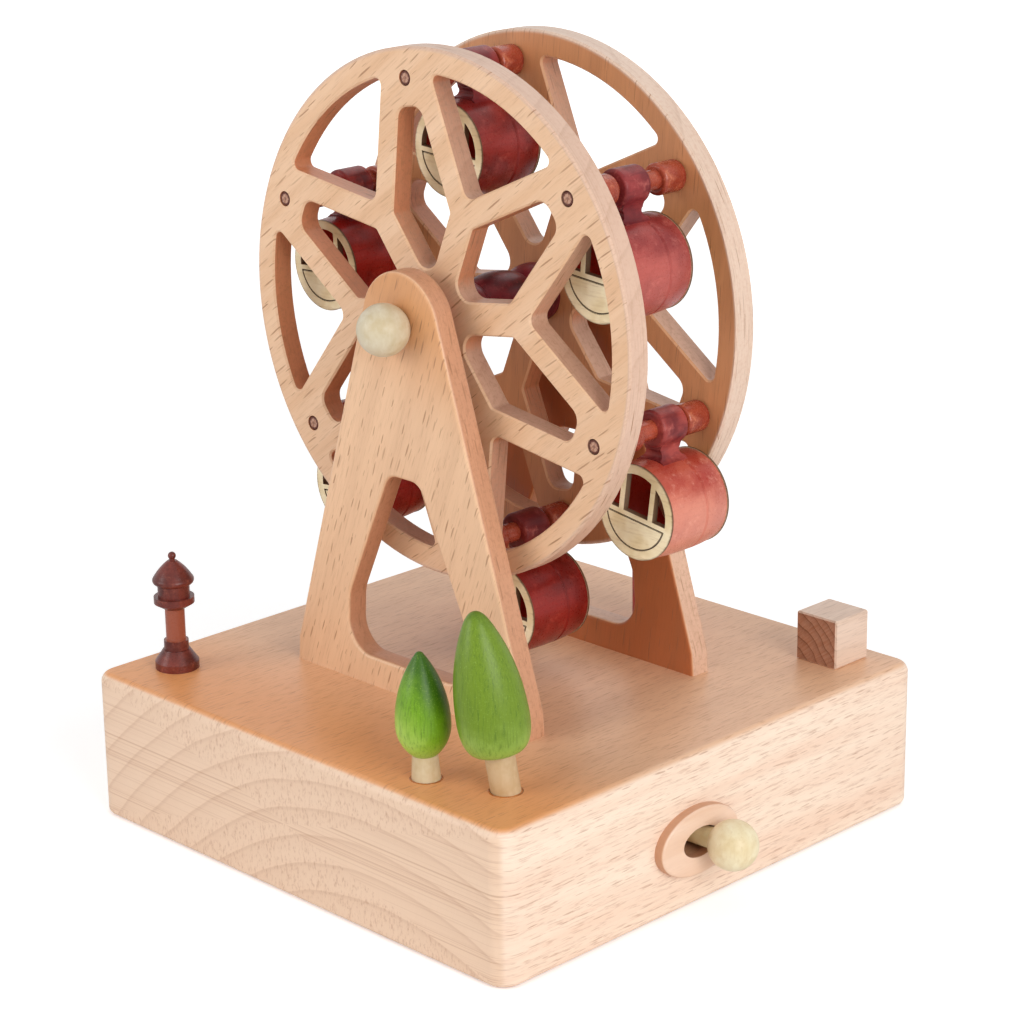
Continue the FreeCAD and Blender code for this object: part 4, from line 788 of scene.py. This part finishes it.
@dataclass
class Base:
    """The square block with its bottom cover and its lever."""

    heart: Pair = (-26.0, -62.9)
    ball: Triple = (64.8, -5.6, 13.4)
    stem: Triple = (40.0, -7.0, 13.4)

    def dress(self) -> None:
        """Finishes the block and what is let into it."""
        # The block's painted tone is a painted reflection of the front board, warm and dark on the top in front of it.
        dress("base_block", Beech(
            "oiled beech block", Grain.BASE, Z_WAY, self.heart, pale=rgb(247, 224, 202), warm=rgb(240, 208, 184),
            end=rgb(232, 201, 173), face=rgb(234, 188, 150), painted_shade_and_reflection=rgb(230, 160, 102), fleck=rgb(164, 104, 68),
            painted_tone_span=(-50.0, -16.0), fibre_share=0.44, fibre_fine=2.1, ring_gap=5.3, ring_shade=0.04,
            end_shade=0.2, wave=(0.024, 3.6), fleck_length=1.5, fleck_width=0.12, fleck_cell=(4.1, 1.6),
            fleck_share=0.46, gloss=0.38, coat=0.08
        ))
        dress("bottom_cover", Beech(
            "bare plywood", Grain.ACROSS, Z_WAY, (10.0, -90.0), pale=rgb(224, 196, 154), warm=rgb(204, 168, 120),
            fleck_share=0.3, gloss=0.6
        ))
        # The plate's edges take a darker pink, the same on lit and unlit edges: painted shade along the edge.
        pink = rgb(206, 152, 118)
        dress("lever_plate", Beech(
            "pink beech plate", Grain.BASE, X_WAY, (-20.0, 4.0), pale=rgb(240, 208, 184), warm=rgb(232, 194, 166),
            fleck=rgb(190, 140, 110), wall=pink, wall_painted_light=pink, ring_shade=0.03, fleck_share=0.1, fibre_share=0.1
        ))
        dress("lever_knob", PaleWood("lever ball wood", self.ball))
        dress("lever_arm", PaleWood(
            "lever stem wood", self.stem, Grain.ACROSS, rgb(248, 228, 178), rgb(236, 204, 142)
        ))


@dataclass
class Supports:
    """The two A-shaped boards that carry the axle."""

    def dress(self) -> None:
        """Finishes both boards and their hidden dowels."""
        # The front board's painted tone is painted shade round the axle ball, and its wall tones carry painted shade
        # and painted light.
        dress("front_support", Beech(
            "front support beech", Grain.SUPPORT, Y_WAY, (8.0, 60.0), pale=rgb(236, 194, 156),
            warm=rgb(226, 178, 138), wall=rgb(198, 140, 106), wall_painted_light=rgb(206, 150, 116), face=rgb(236, 194, 156),
            painted_shade_and_reflection=rgb(214, 154, 104), painted_tone_span=(103.0, 80.0), ring_shade=0.06, fleck_length=1.5,
            fleck_cell=(4.2, 2.0)
        ))
        # The rear board's inner tone is painted shade on its face towards the front board, and its wall tones carry
        # painted shade and painted light.
        dress("rear_support", Beech(
            "rear support beech", Grain.REAR_SUPPORT, Y_WAY, (-12.0, 50.0), pale=rgb(230, 184, 144),
            warm=rgb(218, 166, 124), inner=rgb(190, 110, 64), wall=rgb(200, 136, 100), wall_painted_light=rgb(222, 182, 156),
            fleck_length=2.4, fleck_cell=(6.0, 2.4)
        ))
        dress("support_dowels", PaleWood("dowel wood", (0.0, 0.0, 30.0)))


@dataclass
class Wheels:
    """The two pierced wheels on their axle, with the spool and the rods between them."""

    tower: Tower = field(default_factory=Tower)
    outer: float = 16.55
    ball_out: float = 29.0
    pin: float = 1.3
    pin_sunk: float = 0.3
    pin_outline: tuple[Pair, ...] = ((0.0, 0.0), (0.985, 0.0), (0.985, 0.14), (0.9, 0.22), (0.5, 0.25), (0.26, 0.24),
                                     (0.16, 0.1), (0.0, 0.08))
    pin_steps: int = 48

    def dress(self) -> None:
        """Finishes the wheels, the axle group and the rods."""
        # The wheels' wall tone is the cut-outs' own darker end grain, deepened as painted shade; their lit wall tones
        # are painted light.
        walls = rgb(204, 132, 92)
        dress("front_wheel", Beech(
            "front wheel beech", Grain.FRONT_WHEEL, Y_WAY, (14.0, 46.0), pale=rgb(234, 195, 160),
            warm=rgb(225, 181, 142), wall=walls, wall_painted_light=rgb(204, 160, 134), rim=rgb(218, 184, 162),
            ring_shade=0.05, fleck_length=2.2, fleck_width=0.16, fleck_cell=(5.0, 2.6), fleck_share=0.7
        ))
        # The rear wheel's inner tone is painted shade on its face towards the front wheel.
        dress("rear_wheel", Beech(
            "rear wheel beech", Grain.REAR_WHEEL, Y_WAY, (-20.0, -52.0), pale=rgb(232, 190, 152),
            warm=rgb(220, 172, 132), inner=rgb(209, 145, 98), wall=walls, wall_painted_light=rgb(208, 164, 138),
            rim=rgb(226, 200, 180), ring_shade=0.08, fleck_length=2.8, fleck_width=0.12, fleck_cell=(6.4, 1.6)
        ))
        x, y, z = self.tower.centre
        dress("wheel_axle", PaleWood("axle wood", self.tower.centre, Grain.BASE))
        dress("front_axle_ball", PaleWood(
            "front ball wood", (x, y - self.ball_out, z), pale=rgb(214, 203, 178), warm=rgb(198, 180, 144)
        ))
        dress("rear_axle_ball", PaleWood("rear ball wood", (x, y + self.ball_out, z)))
        spool = TurnedStain("spool stain", self.tower.centre, dark=rgb(72, 14, 22), mid=rgb(134, 36, 44),
                            light=rgb(184, 92, 88), light_share=0.45, gloss=0.34, coat=0.04)
        for node in ("hub_spool", "front_washer", "rear_washer"):
            dress(node, spool)
        for index in range(self.tower.rods):
            dress(f"rod_{index + 1}", TurnedStain(
                f"rod {index + 1} stain", self.tower.rod(index), dark=rgb(124, 42, 28), mid=rgb(174, 78, 54),
                light=rgb(214, 134, 98), light_share=0.7, gloss=0.22
            ))

    def pin_ends(self) -> None:
        """Adds the ringed end of each rod's pin, front and rear."""
        radius, out = self.pin * MM, (self.outer - self.pin_sunk) * MM
        outline = [(radius * share, height * MM) for share, height in self.pin_outline]
        for index in range(self.tower.rods):
            x, y, z = (part * MM for part in self.tower.rod(index))
            finish = PinEnd(f"pin end {index + 1}", self.tower.rod(index))
            for side, word in SIDES:
                turn = Matrix.Rotation(math.radians(-90 * side), 4, "X")
                place = Matrix.Translation((x, y + side * out, z)) @ turn
                Workbench.hand_over(Workbench.turned(outline, self.pin_steps), place,
                                    f"rod_{index + 1}_{word}_pin_end", "wheel", "maroon_wood", finish)


@dataclass(frozen=True)
class BarrelTone:
    """One gondola's barrel and hanger tones: partly how the stain took, as no two pieces of wood drink alike, and
    partly painted light and shade for where it hangs.
    """

    dark: Colour
    mid: Colour
    light: Colour
    hanger: Colour
    painted_light_share: float = 0.0


@dataclass
class Gondolas:
    """Six barrel-shaped gondolas that hang from the rods."""

    tower: Tower = field(default_factory=Tower)
    half: float = 7.75
    bore: float = 8.3
    # The rows carry painted light and shade for where each gondola hangs; the fifth and sixth also paint light on one
    # side.
    tones: tuple[BarrelTone, ...] = (
        BarrelTone(rgb(108, 24, 20), rgb(152, 46, 40), rgb(190, 94, 82), rgb(144, 50, 46)),
        BarrelTone(rgb(124, 18, 14), rgb(176, 40, 30), rgb(198, 74, 58), rgb(170, 48, 40)),
        BarrelTone(rgb(124, 18, 14), rgb(176, 40, 30), rgb(198, 74, 58), rgb(170, 48, 40)),
        BarrelTone(rgb(114, 20, 15), rgb(146, 34, 26), rgb(182, 72, 58), rgb(130, 46, 42)),
        BarrelTone(rgb(170, 56, 42), rgb(200, 98, 76), rgb(230, 164, 142), rgb(170, 72, 64), 0.5),
        BarrelTone(rgb(138, 44, 42), rgb(172, 72, 66), rgb(208, 120, 108), rgb(150, 56, 56), 0.3),
    )
    mark: GondolaMark = field(default_factory=GondolaMark)

    def dress(self) -> None:
        """Finishes each gondola and adds the burnt lines of its end plates."""
        for index in range(self.tower.rods):
            number = index + 1
            centre = self.tower.gondola(index)
            tone = self.tones[index]
            stain = TurnedStain(f"gondola {number} stain", centre, dark=tone.dark, mid=tone.mid, light=tone.light,
                                painted_light_share=tone.painted_light_share, bore=self.bore)
            dress(f"gondola_{number}_drum", stain)
            dress(f"gondola_{number}_hanger", TurnedStain(
                f"hanger {number} stain", self.tower.rod(index), dark=rgb(98, 26, 32), mid=tone.hanger,
                light=rgb(204, 112, 102), coat=0.06, gloss=0.36
            ))
            dress(f"gondola_{number}_end_plates", LaserBoard(f"gondola {number} board", centre))
            for side, word in SIDES:
                self.add_mark(index, side, word)

    def add_mark(self, index: int, side: int, word: str) -> None:
        """Adds the burnt line to one end plate.

        Args:
            index: Which gondola, counted from 0.
            side: -1 in front and 1 behind.
            word: The side in words.
        """
        x, y, z = (part * MM for part in self.tower.gondola(index))
        stand = Matrix.Rotation(math.radians(90), 4, "X")
        turn = Matrix.Rotation(math.radians(-self.tower.plate_turns[index]), 4, "Y")
        face = y + side * (self.half * MM - self.mark.sunk - (self.mark.deep if side < 0 else 0))
        place = Matrix.Translation((x, face, z)) @ turn @ stand
        burnt = Plain(f"burnt line {index + 1} {word}", rgb(70, 42, 24), rgb(46, 28, 18), gloss=0.7)
        Workbench.hand_over(self.mark.shape(), place, f"gondola_{index + 1}_{word}_burnt_line",
                            f"gondola_{index + 1}", "pale_wood", burnt)


@dataclass
class Garden:
    """The lamp post, the trees, the cube and the red peg that stand on the base."""

    lamp: Triple = (-47.0, -44.5, 30.0)
    small_tree: Triple = (29.8, -49.1, 34.7)
    big_tree: Triple = (44.3, -43.4, 38.0)
    top: float = 30.0
    bead: float = 0.2
    bead_flat: float = 0.6
    bead_steps: int = 20
    ring_steps: int = 72

    def dress(self) -> None:
        """Finishes every piece but the big tree's crown."""
        dress("lamp_post", TurnedStain(
            "lamp stain", self.lamp, Z_WAY, dark=rgb(76, 28, 24), mid=rgb(120, 52, 42), light=rgb(172, 96, 76),
            bore=2.1, inner=rgb(152, 82, 60), inner_until=15.0
        ))
        dress("small_tree_crown", LeafStain(
            "small tree stain", self.small_tree, 19.5, thin=rgb(170, 200, 84), full=rgb(110, 155, 20),
            deep=rgb(38, 84, 6), shaded_way=(0.5, 0.5, 0.7), deep_from=0.27
        ))
        dress("small_tree_trunk", PaleWood(
            "small trunk wood", self.small_tree, pale=rgb(215, 199, 165), warm=rgb(199, 176, 135)
        ))
        dress("big_tree_trunk", PaleWood(
            "big trunk wood", self.big_tree, pale=rgb(206, 180, 142), warm=rgb(190, 158, 114)
        ))
        dress("corner_cube", Beech(
            "cube beech", Grain.BASE, (0.438, 0.0, 0.899), (0.0, 0.0), pale=rgb(230, 203, 183),
            warm=rgb(222, 192, 170), end=rgb(152, 82, 44), fleck=rgb(104, 58, 36), ring_gap=1.9, ring_shade=0.06,
            end_shade=0.75, fleck_share=0.15
        ))
        dress("red_peg", Plain("red paint", rgb(190, 30, 34), rgb(150, 18, 24), gloss=0.32))

    def glue_rings(self) -> None:
        """Adds the ring of amber glue round each trunk where it enters the base."""
        glue = Plain("amber glue", rgb(196, 120, 52), rgb(150, 84, 34), gloss=0.25)
        for word, (x, y, _), radius, shift in (("small", self.small_tree, 2.88, 0.0),
                                               ("big", self.big_tree, 2.94, 0.09)):
            shape = bmesh.new()
            ring = bmesh.ops.create_circle(shape, cap_ends=False, segments=self.bead_steps,
                                           radius=self.bead * MM)["verts"]
            bmesh.ops.rotate(shape, verts=ring, cent=(0, 0, 0), matrix=Matrix.Rotation(math.radians(90), 3, "X"))
            bmesh.ops.scale(shape, vec=(1.0, 1.0, self.bead_flat), verts=ring)
            bmesh.ops.translate(shape, vec=(radius * MM, 0, 0), verts=ring)
            bmesh.ops.spin(shape, geom=list(shape.verts) + list(shape.edges), axis=(0, 0, 1), cent=(0, 0, 0),
                           angle=math.tau, steps=self.ring_steps, use_merge=True, use_duplicate=False)
            place = Matrix.Translation(((x - shift) * MM, (y - shift) * MM, self.top * MM))
            Workbench.hand_over(shape, place, f"{word}_tree_glue_ring", "root", "pale_wood", glue)


@dataclass
class BigCrown:
    """The big tree's crown, broad at its foot, with the bore for the trunk's tenon."""

    foot: Triple = (43.464, -44.236, 37.912)
    lean: float = 8.5
    heading: float = 225.0
    bore: Pair = (1.3, 4.4)
    bends: tuple[tuple[Pair, ...], ...] = (
        ((4.6, 0.0), (5.55, 0.35), (6.55, 2.3), (6.55, 5.8)),
        ((6.55, 5.8), (6.55, 12.0), (5.3, 18.4), (2.45, 24.0)),
        ((2.45, 24.0), (1.93, 25.02), (1.15, 26.2), (0.0, 26.2)),
    )
    points: int = 15
    steps: int = 72
    height: float = 26.2

    def grow(self) -> None:
        """Turns the crown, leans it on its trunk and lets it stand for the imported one."""
        radius, deep = self.bore
        outline = [(0.0, deep * MM), (radius * MM, deep * MM), (radius * MM, 0.0)]
        for bend in self.bends:
            curve = interpolate_bezier(*(Vector((*knot, 0.0)) for knot in bend), self.points)
            outline += [(point.x * MM, point.y * MM) for point in curve]
        lean, heading = math.radians(self.lean), math.radians(self.heading)
        up = Vector((math.sin(lean) * math.cos(heading), math.sin(lean) * math.sin(heading), math.cos(lean)))
        turn = Vector(Z_WAY).rotation_difference(up).to_matrix().to_4x4()
        place = Matrix.Translation(Vector(self.foot) * MM) @ turn
        stain = LeafStain("big tree stain", Garden.big_tree, self.height, thin=rgb(154, 182, 82), deep_from=0.85)
        crown = Workbench.hand_over(Workbench.turned(outline, self.steps), place, "big_tree_full_crown", "root",
                                    "leaf_green", stain)
        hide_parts("big_tree_crown")


@dataclass
class Movement:
    """The musical movement, its key and the screws, in steel and brass."""

    steel: tuple[str, ...] = ("bottom_cover_screws", "movement_screws", "comb_screws", "comb", "movement_bedplate",
                              "governor_frame", "lever_pivot_screw", "winding_key")
    brass: tuple[str, ...] = ("spring_barrel", "music_cylinder", "governor_fly")

    def dress(self) -> None:
        """Finishes every metal piece."""
        steel = Metal("bright steel", rgb(198, 198, 198), rgb(150, 148, 144))
        brass = Metal("turned brass", rgb(222, 186, 116), rgb(168, 128, 66), gloss=0.24)
        for nodes, finish in ((self.steel, steel), (self.brass, brass)):
            for node in nodes:
                dress(node, finish)


# ------------------------------ studio
@dataclass
class Lamp:
    """A soft area lamp."""

    name: str
    place: Triple
    size: float
    power: float

    def hang(self, target: Vector) -> None:
        """Adds the lamp, turned to a target.

        Args:
            target: What it points at.
        """
        light = bpy.data.lights.new(self.name, "AREA")
        light.shape, light.size, light.energy = "DISK", self.size, self.power
        lamp = add_object(self.name, light)
        lamp.location = self.place
        lamp.rotation_mode = "QUATERNION"
        lamp.rotation_quaternion = (target - Vector(self.place)).to_track_quat("-Z", "Y")


@dataclass
class Studio:
    """The floor, the lamps, the world and the camera."""

    camera_at: Triple = (0.3821, -0.37393, 0.23454)
    camera_to: Triple = (-0.00624, 0.01014, 0.05843)
    roll: float = -0.82
    lens: float = 101.79
    sensor: float = 36.0
    shift: Pair = (-0.00416, -0.00169)
    clip: Pair = (0.02, 20.0)
    aim: Triple = (0.0, 0.0, 0.07)
    world_light: float = 0.52
    floor_half: float = 3.0
    floor_drop: float = 0.0002
    floor_tone: float = 0.93
    glow_from: Pair = (300.0, 1400.0)
    glow: Pair = (0.36, 1.0)
    lamps: tuple[Lamp, ...] = (
        Lamp("key", (0.95, -0.2, 0.42), 0.7, 5.8),
        Lamp("front", (-0.45, -1.0, 0.45), 0.7, 4.25),
        Lamp("back", (-0.3, 0.9, 0.9), 0.8, 1.2),
    )

    def build(self) -> None:
        """Builds the whole studio."""
        self.make_camera()
        self.make_world()
        self.make_floor()
        for lamp in self.lamps:
            lamp.hang(Vector(self.aim))

    def make_camera(self) -> None:
        """Adds the camera and makes it the scene's own."""
        data = bpy.data.cameras.new("camera")
        data.lens, data.sensor_width = self.lens, self.sensor
        data.shift_x, data.shift_y = self.shift
        data.clip_start, data.clip_end = self.clip
        camera = add_object("camera", data)
        way = (Vector(self.camera_to) - Vector(self.camera_at)).normalized()
        right = way.cross(Vector(Z_WAY)).normalized()
        up = right.cross(way)
        lean = math.radians(self.roll)
        across = right * math.cos(lean) + up * math.sin(lean)
        above = up * math.cos(lean) - right * math.sin(lean)
        turn = Matrix((across, above, -way)).transposed().to_4x4()
        camera.matrix_world = Matrix.Translation(self.camera_at) @ turn
        bpy.context.scene.camera = camera

    def make_world(self) -> None:
        """Adds a soft pale world that the camera and glossy surfaces see as white."""
        world = bpy.data.worlds.new("studio")
        world.use_nodes = True
        nodes = Nodes(world.node_tree)
        nodes.tree.nodes.clear()
        path = nodes.tree.nodes.new("ShaderNodeLightPath").outputs
        gloss = nodes.calc("ADD", path["Is Glossy Ray"], path["Is Transmission Ray"])
        seen = nodes.node("Math", {0: path["Is Camera Ray"], 1: gloss}, operation="ADD", use_clamp=True)
        soft, white = (nodes.node("Background", {"Color": WHITE, "Strength": strength})
                       for strength in (self.world_light, 1.0))
        shown = nodes.node("MixShader", {0: seen, 1: soft, 2: white})
        out = nodes.tree.nodes.new("ShaderNodeOutputWorld")
        nodes.tree.links.new(shown, out.inputs["Surface"])
        bpy.context.scene.world = world

    def make_floor(self) -> None:
        """Adds a pale floor that keeps a soft shadow."""
        mix = Recipe("pale floor")
        tone = self.floor_tone
        plain = {"Base Color": (tone, tone, tone, 1.0), "Roughness": 0.9, "Specular IOR Level": 0.0,
                 "Emission Color": WHITE}
        for key, value in plain.items():
            mix.shader.inputs[key].default_value = value
        (near, far), (least, most) = self.glow_from, self.glow
        reach = {"Value": mix.length(mix.place), "From Min": near, "From Max": far, "To Min": least, "To Max": most}
        seen = mix.node("LightPath", {}, "Is Camera Ray")
        glow = mix.calc("MULTIPLY", seen, mix.node("MapRange", reach))
        mix.tree.links.new(glow, mix.shader.inputs["Emission Strength"])
        shape = bmesh.new()
        bmesh.ops.create_grid(shape, x_segments=1, y_segments=1, size=self.floor_half)
        floor = add_shape("floor", shape, mix.material)
        floor.location = (0.0, 0.0, -self.floor_drop)


def main() -> None:
    """Builds the studio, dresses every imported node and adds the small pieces."""
    logging.basicConfig(level=logging.INFO, format="%(name)s: %(message)s")
    bpy.context.scene.view_settings.view_transform = "Standard"
    steps: tuple[tuple[str, Callable[[], None]], ...] = (
        ("studio", Studio().build),
        ("base", Base().dress),
        ("supports", Supports().dress),
        ("wheels", Wheels().dress),
        ("pin ends", Wheels().pin_ends),
        ("gondolas", Gondolas().dress),
        ("garden", Garden().dress),
        ("big crown", BigCrown().grow),
        ("glue rings", Garden().glue_rings),
        ("movement", Movement().dress),
    )
    for name, step in steps:
        step()
        log.info("%s done", name)
    bpy.context.view_layer.update()


if __name__ == "__main__":
    main()
